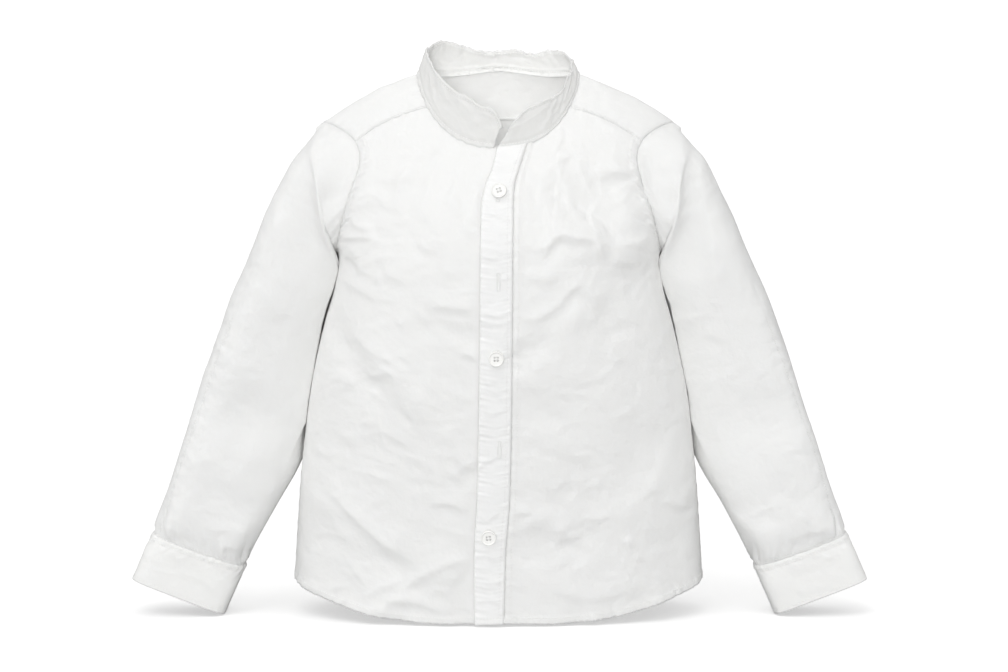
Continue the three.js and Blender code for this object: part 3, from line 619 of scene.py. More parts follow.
# Small patches over a piece, and a colour that goes with them from one tint to another.
def mottled(tree, per_metre, detail, low, high):
    place = add_node(tree, "TexCoord").outputs["Object"]
    noise = {"Scale": per_metre, "Detail": detail, "Vector": place}
    patches = add_node(tree, "TexNoise", noise).outputs["Fac"]
    return patches, blend(tree, (*low, 1), (*high, 1), patches)


# Cotton in a white: `crumple` is the relief of its fine crumpling in metres, and `thin` is how
# much light goes through it.
def cotton(name, white, warm, crumple, per_metre, thin=0.55):
    material, tree, shader = new_material(name)
    cut = add_node(tree, "UVMap", uv_map="cut").outputs[0]
    weave = add_node(tree, "Group", {"Cut": cut}, node_tree=PLAIN_WEAVE).outputs
    place = add_node(tree, "TexCoord").outputs["Object"]
    creased = add_node(tree, "Group", {"Per metre": per_metre, "Place": place},
                       node_tree=FINE_CRUMPLE)
    noise = {"Scale": 22, "Detail": 4, "Vector": place}
    worn = add_node(tree, "TexNoise", noise).outputs["Fac"]
    half = add_node(tree, "Math", {0: weave["Shade"], 1: 0.5}, operation="MULTIPLY")
    shade = add_node(tree, "Math", {0: worn, 1: 0.5, 2: half.outputs[0]},
                     operation="MULTIPLY_ADD")
    folds = add_node(tree, "Bump", {"Distance": crumple, "Strength": 1,
                                    "Height": creased.outputs["Height"]})
    threads = add_node(tree, "Bump", {"Distance": 0.00009, "Strength": 0.6,
                                      "Height": weave["Height"], "Normal": folds.outputs[0]})
    feed(tree, shader, {
        "Base Color": blend(tree, (*warm, 1), (*white, 1), shade.outputs[0]),
        "Roughness": roughness(tree, 0.85, 0.98, worn), "Specular IOR Level": 0.25,
        "Subsurface Weight": thin, "Subsurface Radius": (1, 0.98, 0.94),
        "Subsurface Scale": 0.0022, "Sheen Weight": 0.12, "Sheen Roughness": 0.6,
        "Normal": threads.outputs[0],
    })
    return material


# Spun polyester thread, a shade whiter and smoother than the cloth.
def sewing_thread():
    material, tree, shader = new_material("sewing_thread")
    twist, tint = mottled(tree, 2600, 2, (0.79, 0.79, 0.775), (0.88, 0.88, 0.87))
    feed(tree, shader, {"Specular IOR Level": 0.4, "Base Color": tint,
                        "Roughness": roughness(tree, 0.5, 0.75, twist)})
    return material


SHIRTING = cotton("shirting", (0.84, 0.84, 0.828), (0.80, 0.80, 0.785), 0.001, 75)
THREAD = sewing_thread()

# Creases of the right front.
RIGHT_CREASES = [
    (0.7, 3.5, (-110, -94), (-105, -85), (-97, -71), (-90, -57)),
    (0.6, 4, (-87, -80), (-74, -78), (-61, -75)),
    (0.6, 4, (-21, -101), (-26, -91), (-36, -80)),
    (0.5, 4, (-107, -101), (-99, -97), (-89, -93)),
    (0.8, 2.5, (-116, -122), (-102, -120), (-91, -120)),
    (0.5, 2.5, (-116, -135), (-107, -135), (-98, -133)),
    (0.6, 3, (-86, -144), (-78, -148), (-69, -151)),
    (0.5, 3, (-103, -147), (-97, -146), (-92, -147)),
    (0.5, 5, (-45, -143), (-37, -147), (-29, -150)),
    (1.1, 3, (-50, -169), (-32, -169), (-18, -173)),
    (0.5, 2.5, (-75, -182), (-69, -181), (-63, -178)),
    (1.0, 4, (-116, -184), (-108, -193), (-95, -203), (-83, -209), (-71, -213)),
    (0.8, 3, (-101, -218), (-91, -222), (-80, -219), (-75, -226)),
    (0.6, 3, (-30, -201), (-24, -203), (-19, -207)),
    (0.5, 2.5, (-96, -234), (-91, -236), (-87, -235)),
    (0.5, 2.5, (-56, -215), (-52, -227), (-45, -234)),
    (0.7, 3, (-72, -240), (-65, -251), (-59, -259)),
    (0.5, 2.5, (-61, -242), (-57, -249), (-53, -254)),
    (0.8, 4, (-98, -267), (-85, -265), (-75, -270), (-65, -277)),
    (0.6, 3.5, (-45, -263), (-40, -266), (-35, -269)),
    (0.7, 3, (-36, -277), (-26, -286), (-16, -289)),
    (0.7, 3, (-35, -297), (-22, -290), (-16, -288)),
    (1.2, 2.6, (-49, -317), (-39, -316), (-31, -318), (-25, -322)),
    (1.5, 4, (-137, -308), (-125, -314), (-112, -326), (-101, -337), (-88, -349), (-76, -356),
     (-60, -366)),
    (1.2, 3, (-99, -392), (-86, -383), (-71, -377)),
    (1.4, 3, (-78, -387), (-65, -379), (-52, -371), (-39, -364), (-26, -359), (-20, -356)),
    (1.0, 3, (-34, -378), (-26, -367), (-20, -356)),
    (1.0, 3, (-83, -393), (-65, -393), (-50, -397), (-37, -401)),
    (0.5, 4, (-139, -295), (-130, -302), (-117, -311)),
    (0.5, 4, (-127, -264), (-113, -271), (-106, -277)),
    (0.5, 6, (-65, -93), (-50, -114), (-37, -133)),
    (0.5, 5, (-127, -362), (-111, -372), (-102, -383)),
    (0.5, 5, (-69, -327), (-79, -337), (-84, -347)),
    (0.4, 5, (-43, -334), (-55, -346), (-70, -349)),
    (0.6, 3, (-30, -62), (-34, -78), (-42, -96)), (0.5, 3, (-44, -52), (-52, -70), (-58, -92)),
    (0.6, 3, (-18, -78), (-22, -96), (-30, -116)), (0.5, 3, (-62, -58), (-74, -72), (-80, -90)),
    (0.6, 2.5, (-112, -104), (-104, -112), (-92, -114)),
    (0.5, 2.5, (-116, -152), (-104, -158), (-90, -166)),
    (0.5, 2.5, (-62, -118), (-54, -126), (-42, -128)),
]


# The top edge of a front: the neck seam, then the yoke's front seam out to the armhole.
def front_top(side, start, neck_columns, seam_columns):
    first = np.degrees(np.arcsin(start / NECK_HALF))
    curve = neck(np.linspace(first, side * YOKE_CORNER, neck_columns + 1)[:-1], HALF_GAP)
    near = neck(np.array([side * YOKE_CORNER]), HALF_GAP)[0]
    far = armhole(np.array([FRONT_STATION]), side, HALF_GAP)[0]
    share = np.linspace(0, 1, seam_columns + 1)
    x, y = mix(near[0], far[0], share), mix(near[1], far[1], share)
    seam = on_body(x, height_at(x, y) - SEAM, -1)
    seam[-1] = armhole(np.array([FRONT_STATION + np.degrees(SEAM / ARMHOLE_RISE)]), side,
                       HALF_GAP)[0]
    return np.concatenate([curve, seam])


# What the sewing does to a body panel: a turned hem of double cloth, and puckers along the hem,
# the armhole and the top edge.
HEM_WIDTH, ARMHOLE_BAND = 5.6, 8
def sewn_edges(grid, seed):
    across, up = spans(grid)
    from_top = up[-1] - up
    from_side = across[:, -1][:, None] - across
    held = smooth(from_side, 0, 9)
    hem = 0.45 * (1 - smooth(up, HEM_WIDTH - 0.7, HEM_WIDTH + 0.3))
    hem += 0.6 * pucker(across + 0.35 * up, 6.5, seed) * bell(up, 8.5) * held
    hem += 0.9 * pucker(across, 31, seed + 1) * bell(up, 16) * held
    by_arm = smooth(grid[..., 2], -138, -126)
    arm = 0.6 * (1 - smooth(from_side, ARMHOLE_BAND - 0.8, ARMHOLE_BAND + 0.4)) * by_arm
    arm += 0.75 * pucker(up - 0.3 * from_side, 6, seed + 2) * by_arm * bell(from_side - 4, 7)
    seam = 0.3 * pucker(up + 0.3 * from_side, 8, seed + 3) * bell(from_side, 7)
    seam *= smooth(from_side, 0, 2.5)
    top = 0.25 * pucker(across, 7, seed + 4) * bell(from_top, 5)
    return hem + arm + seam * (1 - by_arm) + top


# How much of its relief a place keeps: none where the sleeve lies against the body, and little
# near the panel's edges, where the seams hold it flat.
def kept(points):
    across, up = spans(points)
    nearest = np.minimum(np.minimum(across, across[:, -1:] - across), up[-1] - up)
    return smooth(np.abs(points[..., 1]), 3, 22) * smooth(nearest, -0.5, 5)


# All the relief of a front; `box` is its left, right, bottom and top.
def front_relief(points, creases, box, seed, edge_seed):
    x, z = points[..., 0], points[..., 2]
    relief = 1.15 * crease(creases, x, z) + crumples(x, z, box, 150, seed, 1.6)
    relief += 0.8 * unevenness(x, z, 55, seed + 7) + crumpled(x, z, 30, seed + 200)
    relief *= 1 + 0.9 * smooth(z, -170, -110)
    return broad_folds(points) + relief * kept(points) + sewn_edges(points, edge_seed)


# Two rows of stitches along a hem, and one beside an armhole.
def hem_stitches(thread, grid, facing, seed):
    for k, distance in enumerate((HEM_WIDTH - 0.6, 1.6)):
        stitch_row(thread, grid, facing, row_in(grid, distance), np.arange(grid.shape[1]),
                   seed + k)


def armhole_stitches(thread, grid, facing, seed, last=True):
    rows = np.arange(grid.shape[0])[grid[:, -1, 2] > ARMHOLE_FOOT + 3]
    stitch_row(thread, grid, facing, rows, column_in(grid, 7.2, last)[rows], seed)


# The placket's edges: height, and how far across its right and its left edge lie.
PLACKET_EDGES = np.array([
    (-425, -18.1, 4), (-350, -18.1, 5.7), (-310, -16, 8.6), (-200, -14, 10.4), (-95, -12.6, 11),
    (-78, -9.5, 12), (-66, -4.5, 15.5), (-44, 0.5, 23),
])


def placket_right(z):
    return read(PLACKET_EDGES, 1, z)


def placket_left(z):
    return read(PLACKET_EDGES, 2, z)


def stand_edge(z):
    return np.minimum(9, placket_left(z) - 2.5)


FRONT_ROWS, NECK_HEIGHT = 236, np.array(-50.0)
YOKE_TUCK, YOKE_SINK = 3, 1.2  # how far a panel goes on under the yoke, and how deep
tops = front_top(-1, stand_edge(NECK_HEIGHT), 44, 56)
flat_front = hanging_panel(tops, FRONT_ROWS, -1, -1, stand_edge)
normals = body_normal(flat_front)
relief = front_relief(flat_front, RIGHT_CREASES, (-140, 5, -400, -50), 11, 21)
under = smooth(flat_front[..., 0], placket_right(flat_front[..., 2]) - 5,
               placket_right(flat_front[..., 2]) + 1)
relief = mix(relief, broad_folds(flat_front), under)
grid = flat_front + normals * relief[..., None]
whole = tucked(grid, normals, YOKE_TUCK, YOKE_SINK)
front_right = sew("front_right_cloth", whole, normals, CLOTH, SHIRTING)
facing = grid_normals(grid, normals)
thread = bmesh.new()
hem_stitches(thread, grid, facing, 1)
armhole_stitches(thread, grid, facing, 3)
right_hem = thread_piece("front_right_stitching", thread)
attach(front_right, "root")
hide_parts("front_right")

# ---------------------------------------------------------------------------------------------
# Wearer's left front: the same cotton, cut to the placket's left edge, where the placket is sewn
# on with two rows of stitches that draw it up in small puckers.
# ---------------------------------------------------------------------------------------------
LEFT_CREASES = [
    (0.9, 4, (69, -71), (81, -73), (92, -76), (102, -75)),
    (-0.8, 6, (33, -92), (50, -97), (67, -107), (84, -125)),
    (0.8, 5, (81, -86), (92, -100), (100, -108)),
    (1.2, 2.8, (28, -137), (35, -130), (43, -119), (54, -120), (66, -121), (70, -128), (75, -134),
     (78, -139)),
    (0.8, 3, (81, -136), (92, -139), (104, -140)),
    (0.5, 3, (80, -143), (87, -145), (94, -146)),
    (0.6, 3, (21, -147), (33, -149), (39, -151)),
    (1.4, 3.4, (15, -183), (23, -179), (33, -176), (45, -168), (52, -160), (57, -155), (63, -158),
     (70, -167), (78, -174)),
    (0.7, 4, (13, -193), (17, -190), (21, -186)),
    (0.5, 3, (64, -178), (69, -179), (74, -179)),
    (0.6, 3, (75, -185), (87, -185), (92, -181), (105, -184)),
    (0.5, 6, (13, -224), (23, -230), (32, -239), (45, -243)),
    (0.6, 6, (12, -261), (23, -268), (37, -275), (51, -279), (66, -287)),
    (1.0, 2.5, (12, -325), (15, -323), (21, -325)),
    (1.0, 4, (10, -342), (17, -336), (27, -334), (39, -337), (50, -342), (68, -344)),
    (1.3, 8, (132, -248), (126, -260), (118, -275), (112, -289), (103, -304), (87, -317),
     (71, -321)),
    (0.9, 2.5, (120, -317), (133, -323), (143, -326)),
    (0.6, 5, (104, -323), (111, -338), (128, -349)),
    (0.7, 4, (25, -390), (45, -386), (66, -392), (84, -390), (104, -385), (118, -383)),
    (0.4, 4, (20, -161), (25, -162), (30, -161)),
    (0.5, 6, (34, -75), (45, -69), (57, -61)),
    (0.4, 5, (97, -237), (107, -253), (105, -268)),
    (0.4, 5, (46, -358), (61, -366), (76, -363)),
    (0.5, 3, (124, -157), (126, -169), (128, -181)),
    (0.4, 4, (27, -288), (37, -294), (50, -298)),
    (0.5, 5, (133, -347), (137, -367), (136, -383)),
    (0.6, 3, (40, -66), (46, -80), (50, -98)), (0.5, 3, (52, -58), (60, -74), (70, -88)),
    (0.5, 3, (28, -84), (34, -100), (38, -120)), (0.5, 3, (104, -62), (96, -66), (84, -60)),
    (0.5, 2.5, (112, -112), (100, -118), (88, -116)),
    (0.5, 2.5, (116, -140), (106, -150), (96, -166)),
]


def left_edge(z):
    return placket_left(z) + SEAM


tops = front_top(1, left_edge(NECK_HEIGHT), 26, 56)
flat_front = hanging_panel(tops, FRONT_ROWS, -1, 1, left_edge)
normals = body_normal(flat_front)
relief = front_relief(flat_front, LEFT_CREASES, (5, 140, -400, -50), 12, 31)
across, up = spans(flat_front)
relief += 0.36 * pucker(up + 0.25 * across, 7, 41) * bell(across, 7)
relief += 0.5 * (1 - smooth(across, 5.2, 6.2))
grid = flat_front + normals * relief[..., None]
whole = tucked(grid, normals, YOKE_TUCK, YOKE_SINK)
ways = np.concatenate([normals, normals[-3:]])
under_placket = tucked(whole[:, ::-1].swapaxes(0, 1), ways[:, ::-1].swapaxes(0, 1), 3, 1.6)
whole = under_placket.swapaxes(0, 1)[:, ::-1]
front_left = sew("front_left_cloth", whole, normals, CLOTH, SHIRTING)
facing = grid_normals(grid, normals)
thread = bmesh.new()
hem_stitches(thread, grid, facing, 4)
armhole_stitches(thread, grid, facing, 6)
for distance, seed in ((1.3, 7), (5.0, 8)):
    stitch_row(thread, grid, facing, np.arange(FRONT_ROWS), column_in(grid, distance), seed)
left_hem = thread_piece("front_left_stitching", thread)
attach(front_left, "root")
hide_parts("front_left")

# ---------------------------------------------------------------------------------------------
# Button placket: a folded strip of the same cotton over interlining, 24 mm wide, topstitched near
# both edges. The stitching puckers it across, and it lies on the right front's button stand.
# ---------------------------------------------------------------------------------------------
PLACKET_LIE = 1.0  # from the front's form to the placket's lowest
PLACKET_WALL = 1.5
FOLDED = 0.6  # wall of a folded strip, over what it lies on
PLACKET_CREASES = [
    (0.7, 1.6, (-12, -171), (-6, -173), (1, -174), (10, -172)),
    (0.5, 1.6, (-13, -178), (-3, -180), (9, -179)),
    (0.6, 1.6, (-17, -289), (-10, -284), (-3, -280), (5, -276)),
    (0.5, 1.5, (-16, -322), (-9, -328), (-3, -324), (4, -318)),
    (0.5, 1.5, (-12, -98), (-5, -101), (4, -100)),
    (0.4, 1.5, (-12, -130), (-6, -132), (0, -131)),
    (0.4, 1.5, (2, -146), (6, -148), (10, -147)),
    (0.4, 1.5, (-13, -221), (-7, -223), (0, -221)),
    (0.5, 1.6, (-14, -243), (-4, -246), (7, -243)),
    (0.5, 1.6, (-17, -356), (-10, -354), (-3, -358)),
    (0.6, 1.8, (-18, -377), (-9, -380), (1, -376)),
    (0.5, 1.6, (-18, -392), (-8, -389), (3, -393)),
    (0.6, 1.8, (-8, -62), (0, -67), (10, -66), (16, -60)),
    (0.5, 1.6, (-2, -50), (6, -54), (16, -52)),
]
BANDING = cotton("banding", (0.93, 0.93, 0.915), (0.90, 0.90, 0.885), 0.0006, 95, 0.5)

PLACKET_ROWS, PLACKET_COLUMNS = 420, 36
rise = np.linspace(0, 1, PLACKET_ROWS)[:, None]
share = np.linspace(0, 1, PLACKET_COLUMNS)
x = np.zeros((PLACKET_ROWS, PLACKET_COLUMNS))
for _ in range(8):
    front = np.minimum(1, np.abs(x) / NECK_HALF)
    top = height_at(x, -np.sqrt(1 - front**2) * NECK_FRONT) - SEAM
    z = mix(hem_height(x), top, rise)
    x = mix(placket_right(z), placket_left(z), share)
strip = on_body(x, z, -1)
normals = body_normal(strip)
across, up = spans(strip)
width = across[:, -1][:, None]
relief = broad_folds(strip) + PLACKET_LIE + PLACKET_WALL
relief += 0.8 * crease(PLACKET_CREASES, x, z) + crumples(x, z, (-20, 14, -402, -50), 34, 14, 1.2)
relief += 0.27 * pucker(up + 0.2 * across, 4.6, 51) * bell(across, 9)
relief += 0.27 * pucker(up - 0.2 * across, 5, 52) * bell(width - across, 9)
relief += 0.4 * crumpled(x, z, 12, 251, 0)
relief += 0.3 * unevenness(x, z, 30, 15)
lowest = broad_folds(strip) + PLACKET_LIE
relief = np.maximum(relief, lowest + 0.3)
relief = mix(relief, lowest, 1 - smooth(across, -0.3, 1.3))
relief = mix(relief, lowest, 1 - smooth(width - across, -0.5, 2.2))
grid = strip + normals * relief[..., None]
button_placket = sew("button_placket_cloth", grid, normals, FOLDED, BANDING)
facing = grid_normals(grid, normals)
PLACKET_GRID, PLACKET_FACING = grid, facing
thread = bmesh.new()
for distance, last, seed in ((1.4, False, 9), (4.6, True, 10)):
    stitch_row(thread, grid, facing, np.arange(PLACKET_ROWS), column_in(grid, distance, last),
               seed)
hem_stitches(thread, grid, facing, 11)


# A buttonhole worked up and down the placket: two close rows of zigzag and a bar at each end.
def buttonhole(thread, across, height, long=13):
    place = np.abs(PLACKET_GRID[..., 0] - across) + np.abs(PLACKET_GRID[..., 2] - height)
    row, column = np.unravel_index(place.argmin(), place.shape)
    centre = Vector(PLACKET_GRID[row, column])
    out = Vector(PLACKET_FACING[row, column])
    up_way = Vector(PLACKET_GRID[row + 12, column] - PLACKET_GRID[row - 12, column]).normalized()
    side = out.cross(up_way).normalized()
    bars = [(s * 1.05, t) for s in (-1, 1) for t in np.linspace(-long / 2, long / 2, 20)]
    bars += [(s * 0.4, t) for t in (-long / 2, long / 2) for s in (-1, 1)]
    for aside, along in bars:
        lump(thread, centre + side * aside + up_way * along + out * 0.12,
             (side * 0.75, up_way * 0.27, out * 0.24))


BUTTONHOLES = ((0.4, -83.4), (0.2, -147), (-1.5, -203.5), (0.8, -272), (-7.2, -338.8))
for across_at, height_of in BUTTONHOLES:
    buttonhole(thread, across_at, height_of)
placket_thread = thread_piece("placket_stitching", thread)
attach(button_placket, "root")
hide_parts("button_placket")

# ---------------------------------------------------------------------------------------------
# Back: one panel of the same cotton, sewn to the yoke across the shoulder blades and hemmed in
# the same curve as the fronts.
# ---------------------------------------------------------------------------------------------
BACK_CREASES = [
    (1.1, 4, (-112, -150), (-96, -162), (-78, -176), (-60, -196)),
    (0.9, 4, (-70, -178), (-48, -190), (-22, -205), (2, -212)),
    (0.8, 3, (-96, -128), (-80, -134), (-66, -131)),
    (1.3, 3.5, (26, -200), (48, -190), (70, -172), (96, -158)),
    (0.8, 3, (60, -226), (82, -214), (112, -204)),
    (0.7, 4, (-20, -110), (-6, -126), (14, -132), (36, -128)),
    (0.6, 3, (58, -98), (74, -104), (92, -100)),
    (0.7, 5, (-64, -70), (-52, -92), (-46, -116)),
    (0.7, 5, (60, -64), (52, -86), (40, -104)),
    (1.3, 4, (-126, -296), (-108, -312), (-90, -334), (-66, -350)),
    (0.9, 3, (-48, -342), (-22, -356), (10, -370)),
    (1.0, 3.5, (36, -362), (60, -346), (84, -330), (110, -312)),
    (0.8, 3, (-14, -250), (6, -262), (30, -264), (46, -256)),
    (0.6, 4, (-90, -236), (-74, -250), (-52, -254)),
    (0.7, 3, (74, -272), (92, -284), (98, -300)),
    (0.6, 5, (-30, -290), (-8, -304), (12, -320)),
    (0.8, 3, (-100, -384), (-76, -378), (-52, -384)),
    (0.7, 3, (20, -392), (48, -386), (78, -390)),
    (0.5, 3, (-112, -208), (-98, -214), (-88, -222)),
    (0.5, 4, (98, -236), (112, -252), (116, -270)),
]
YOKE_SEAM_MIDDLE, YOKE_SEAM_SIDE, YOKE_SEAM_CORNER = -36, -59, -4.0


# The back's top seam, which turns down to meet the armhole's corner.
def back_seam_height(x):
    curve = mix(YOKE_SEAM_MIDDLE, YOKE_SEAM_SIDE, (x / 124) ** 2)
    return curve + YOKE_SEAM_CORNER * smooth(np.abs(x), 92, 113.6)


def back_top(side, columns):
    corner = armhole(np.array([BACK_STATION]), side, HALF_GAP)[0]
    x = corner[0] * np.linspace(0, 1, columns + 1)
    seam = on_body(x, back_seam_height(x) - SEAM, 1)
    angle = BACK_STATION - np.degrees(SEAM / ARMHOLE_RISE)
    seam[-1] = armhole(np.array([angle]), side, HALF_GAP)[0]
    return seam


BACK_HALF, BACK_ROWS = 84, 208  # columns to one half, and rows
halves = [hanging_panel(back_top(side, BACK_HALF), BACK_ROWS, 1, side, lambda z: 0 * z)
          for side in (-1, 1)]
flat_back = np.concatenate([halves[0][:, ::-1], halves[1][:, 1:]], axis=1)
normals = body_normal(flat_back)
x, z = flat_back[..., 0], flat_back[..., 2]
relief = 1.15 * crease(BACK_CREASES, x, z) + crumples(x, z, (-140, 140, -400, -50), 260, 13, 1.4)
relief += 0.9 * unevenness(x, z, 60, 16) + crumpled(x, z, 32, 213, 20)
edges = np.concatenate([
    sewn_edges(flat_back[:, BACK_HALF::-1], 61)[:, ::-1],
    sewn_edges(flat_back[:, BACK_HALF:], 62)[:, 1:],
], axis=1)
relief = relief * kept(flat_back) + edges + broad_folds(flat_back)
grid = flat_back + normals * relief[..., None]
whole = tucked(grid, normals, YOKE_TUCK, YOKE_SINK)
back = sew("back_cloth", whole, normals, CLOTH, SHIRTING)
facing = grid_normals(grid, normals)
thread = bmesh.new()
hem_stitches(thread, grid, facing, 13)
armhole_stitches(thread, grid, facing, 15)
armhole_stitches(thread, grid, facing, 16, False)
back_hem = thread_piece("back_stitching", thread)
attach(back, "root")
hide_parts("back")

# ---------------------------------------------------------------------------------------------
# Yoke: one piece over both shoulders, its seams topstitched on the yoke's side. It carries the
# collar at the neck, and the fronts and the back hang from it.
# ---------------------------------------------------------------------------------------------
YOKE_CREASES = [
    (0.5, 3, (-104, -6), (-92, -12), (-80, -12)),
    (0.5, 4, (70, -2), (84, -8), (98, -10)),
    (0.4, 4, (-76, 0), (-70, -12), (-66, -24)),
    (0.4, 3, (88, -24), (98, -20), (108, -22)),
]


# Half the yoke, from the front seam past the arm and along the back seam to its middle. Its
# columns go from the neck to that rim, the first `BY_ARM` of 15 stations of it by the arm.
STATIONS, BY_ARM = 15, 7
def yoke_half(side, columns, rows):
    k = np.linspace(0, STATIONS, columns)
    turn = (FRONT_STATION - BACK_STATION) / BY_ARM
    by_arm = armhole(FRONT_STATION - turn * np.minimum(k, BY_ARM), side, HALF_GAP)
    corner = armhole(np.array([BACK_STATION]), side, HALF_GAP)[0]
    x = corner[0] * (1 - np.clip((k - BY_ARM) / (STATIONS - BY_ARM), 0, 1))
    across_back = on_body(x, back_seam_height(x), 1)
    far = np.where((k <= BY_ARM)[:, None], by_arm, across_back)
    near = neck(side * mix(YOKE_CORNER, 180, k / STATIONS), HALF_GAP)
    plan = mix(near[:, None, :2], far[:, None, :2], np.linspace(0, 1, rows)[:, None])
    x, y = plan[..., 0], plan[..., 1]
    points = np.stack([x, y, height_at(x, y)], axis=-1)
    points[:, 0], points[:, -1] = near, far
    return points


halves = [yoke_half(side, 150, 46) for side in (-1, 1)]
flat_yoke = np.concatenate([halves[0], halves[1][::-1][1:]], axis=0)
normals = body_normal(flat_yoke)
x, y, z = flat_yoke[..., 0], flat_yoke[..., 1], flat_yoke[..., 2]
across, up = spans(flat_yoke)
to_rim = across[:, -1][:, None] - across
to_front = np.minimum(up, up[-1] - up)
held = smooth(np.minimum(np.minimum(to_rim, to_front), across), 0, 5)
relief = crease(YOKE_CREASES, x, z) + crumples(x, y, (-130, 130, -60, 80), 50, 17, 1.2)
relief += 0.6 * unevenness(x, y, 40, 18) + 0.7 * crumpled(x, y, 26, 217)
relief = relief * held + broad_folds(flat_yoke)
relief += 0.12 * (1 - smooth(np.minimum(to_rim, to_front), 2.2, 3))
relief += 0.3 * pucker(up, 6.5, 71) * bell(to_rim, 6)
relief += 0.25 * pucker(across, 7, 72) * bell(to_front, 6)
relief += 0.35 * pucker(up, 6, 73) * bell(across, 6)
grid = flat_yoke + normals * relief[..., None]
yoke = sew("yoke_cloth", grid, normals, CLOTH, SHIRTING)
facing = grid_normals(grid, normals)
thread = bmesh.new()
rows, columns = np.arange(grid.shape[0]), np.arange(grid.shape[1])
stitch_row(thread, grid, facing, rows, column_in(grid, 1.8, True), 17)
stitch_row(thread, grid, facing, row_in(grid, 1.8), columns, 18)
stitch_row(thread, grid, facing, row_in(grid, 1.8, True), columns, 19)
yoke_thread = thread_piece("yoke_stitching", thread)
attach(yoke, "root")
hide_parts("yoke")

# ---------------------------------------------------------------------------------------------
# Collar: a stand of two layers over interlining, sewn into the neck seam and topstitched along
# both edges. Wear and washing have crumpled it, and its top edge wanders up and down.
# ---------------------------------------------------------------------------------------------
COLLAR_WALL = 1.3
# The collar's cotton is the body's white, painted a good deal darker: painted shade for the upright
# stand, which the light from above reaches less.
STAND_CLOTH_PAINTED_SHADE = cotton("collar_stand_painted_shade", (0.75, 0.75, 0.74), (0.70, 0.70, 0.688), 0.0007, 95)
COLLAR_EDGE = np.array([  # angle by the wearer's right, height of the top edge, lean inwards
    (-4, -38, 1), (0, -29, 1), (4, -23, 2), (12, -20, 2), (22, -15, 2), (34, -9, 2.5),
    (46, -1, 3), (60, 8, 4.5), (75, 15, 6.5), (92, 20, 8), (108, 23.5, 8), (128, 26, 8),
    (145, 23, 8), (160, 19, 8), (180, 18, 8), (196, 19.5, 8), (210, 16, 7.5), (226, 19, 7),
    (240, 18.5, 6.5), (256, 15, 6.5), (270, 11, 6), (284, 5.5, 4.5), (296, 0, 3), (306, -9, 3),
    (316, -14, 2.5), (328, -18, 2), (338, -22.5, 2), (347, -29.5, 1.5), (353, -37, 1),
    (356, -39.5, 1),
])
# Where the collar's two ends stand, in degrees by the wearer's right, at the foot and the top.
RIGHT_FOOT, RIGHT_TOP, LEFT_FOOT, LEFT_TOP = 3.2, -3.6, 361.2, 352.6

rise = np.linspace(0, 1, 34)[:, None]
share = np.linspace(0, 1, 460)[None, :]
angle = mix(mix(RIGHT_FOOT, RIGHT_TOP, rise), mix(LEFT_FOOT, LEFT_TOP, rise), share)
foot = neck(-angle)
top = read(COLLAR_EDGE, 1, angle)
out = foot * (1, 1, 0)
out /= np.linalg.norm(out, axis=-1, keepdims=True)
lean = read(COLLAR_EDGE, 2, angle) * rise**1.3
run = angle * 0.95
band = foot - out * lean[..., None]
top = top + (0.55 * pucker(run, 21, 81) + 0.4 * pucker(run, 6, 87)) * rise
band[..., 2] = mix(foot[..., 2] + SEAM, top, rise)
across, up = spans(band)
from_top = up[-1] - up
relief = 0.8 * pucker(run, 24, 82) * rise**1.5 + 0.22 * pucker(run + 0.4 * up, 8, 83) * rise
relief += 0.35 * pucker(run - 0.5 * up, 5.5, 84) * bell(up, 5)
relief += 0.55 * bell(up - 1.6, 1.3) - 0.5 * bell(up - 3.8, 1.0)
relief += 0.45 * bell(from_top - 1.2, 1.2)
relief -= 0.25 * bell(from_top - 3.2, 0.9)
relief += crumples(run, up, (-5, 350, 0, 34), 90, 85, 1.7) + 1.5 * crumpled(run, up, 15, 285, 0)
grid = band + out * relief[..., None]
whole = tucked(grid[::-1], out[::-1], 2.5, 0.5)[::-1]
collar = sew("collar_cloth", whole, out, COLLAR_WALL, STAND_CLOTH_PAINTED_SHADE)
facing = grid_normals(grid, out)
thread = bmesh.new()
columns = np.arange(grid.shape[1])
inner = grid - facing * COLLAR_WALL
for points, ways, distance, last, seed in (
    (grid, facing, 3.0, True, 20), (grid, facing, 3.2, False, 21),
    (inner, -facing, 3.0, True, 22), (inner, -facing, 3.2, False, 23),
):
    stitch_row(thread, points, ways, row_in(grid, distance, last), columns, seed)
collar_thread = thread_piece("collar_stitching", thread)
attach(collar, "root")
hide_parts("collar")

# ---------------------------------------------------------------------------------------------
# Sleeves: one piece each, set into the armhole, with one seam under the arm. Each hangs in long
# folds from the shoulder and crumples at the elbow and above the cuff, into which it is gathered.
# ---------------------------------------------------------------------------------------------
SLEEVE_SECTIONS = np.array([  # outer edge x, z, inner edge x, z, middle and half depth, squareness
    (137.5, -42, 123.2, -134.5, 1, 40, 2), (146, -52.5, 121, -137.5, 1, 41.5, 2.05),
    (155.4, -64.3, 118.5, -142, 1, 43, 2.1), (164.2, -81.2, 117, -149, 1, 44, 2.1),
    (174, -102.5, 117.5, -159, 1, 44.5, 2.15), (182.6, -124, 119.5, -171.5, 1, 44.5, 2.2),
    (192, -145.5, 123, -185, 1, 43.5, 2.2), (201.8, -168.5, 127.5, -200, 1, 42, 2.2),
    (213, -200.5, 134, -231, 1, 39, 2.2), (223.8, -231, 141.5, -262.5, 1, 36, 2.2),
    (233.3, -262, 151.5, -294, 0, 33.5, 2.2), (244.6, -295, 167.5, -326, -1, 31.5, 2.2),
    (251.6, -318, 180, -347, -3, 29, 2.2), (257, -334.5, 188, -361, -4, 25.5, 2.2),
    (260.7, -346.1, 192.4, -371.4, -5, 20.5, 2.25),
])
SLEEVE_SPREAD = {-1: 1.8, 1: 3.6}  # how far each cuff is held out from the body
SLEEVE_CLEAR = 0.25  # between the sleeve and the body
SLEEVE_TUCK, SLEEVE_REACH = 29, 11  # how far the inner edge lies back and in, behind the body
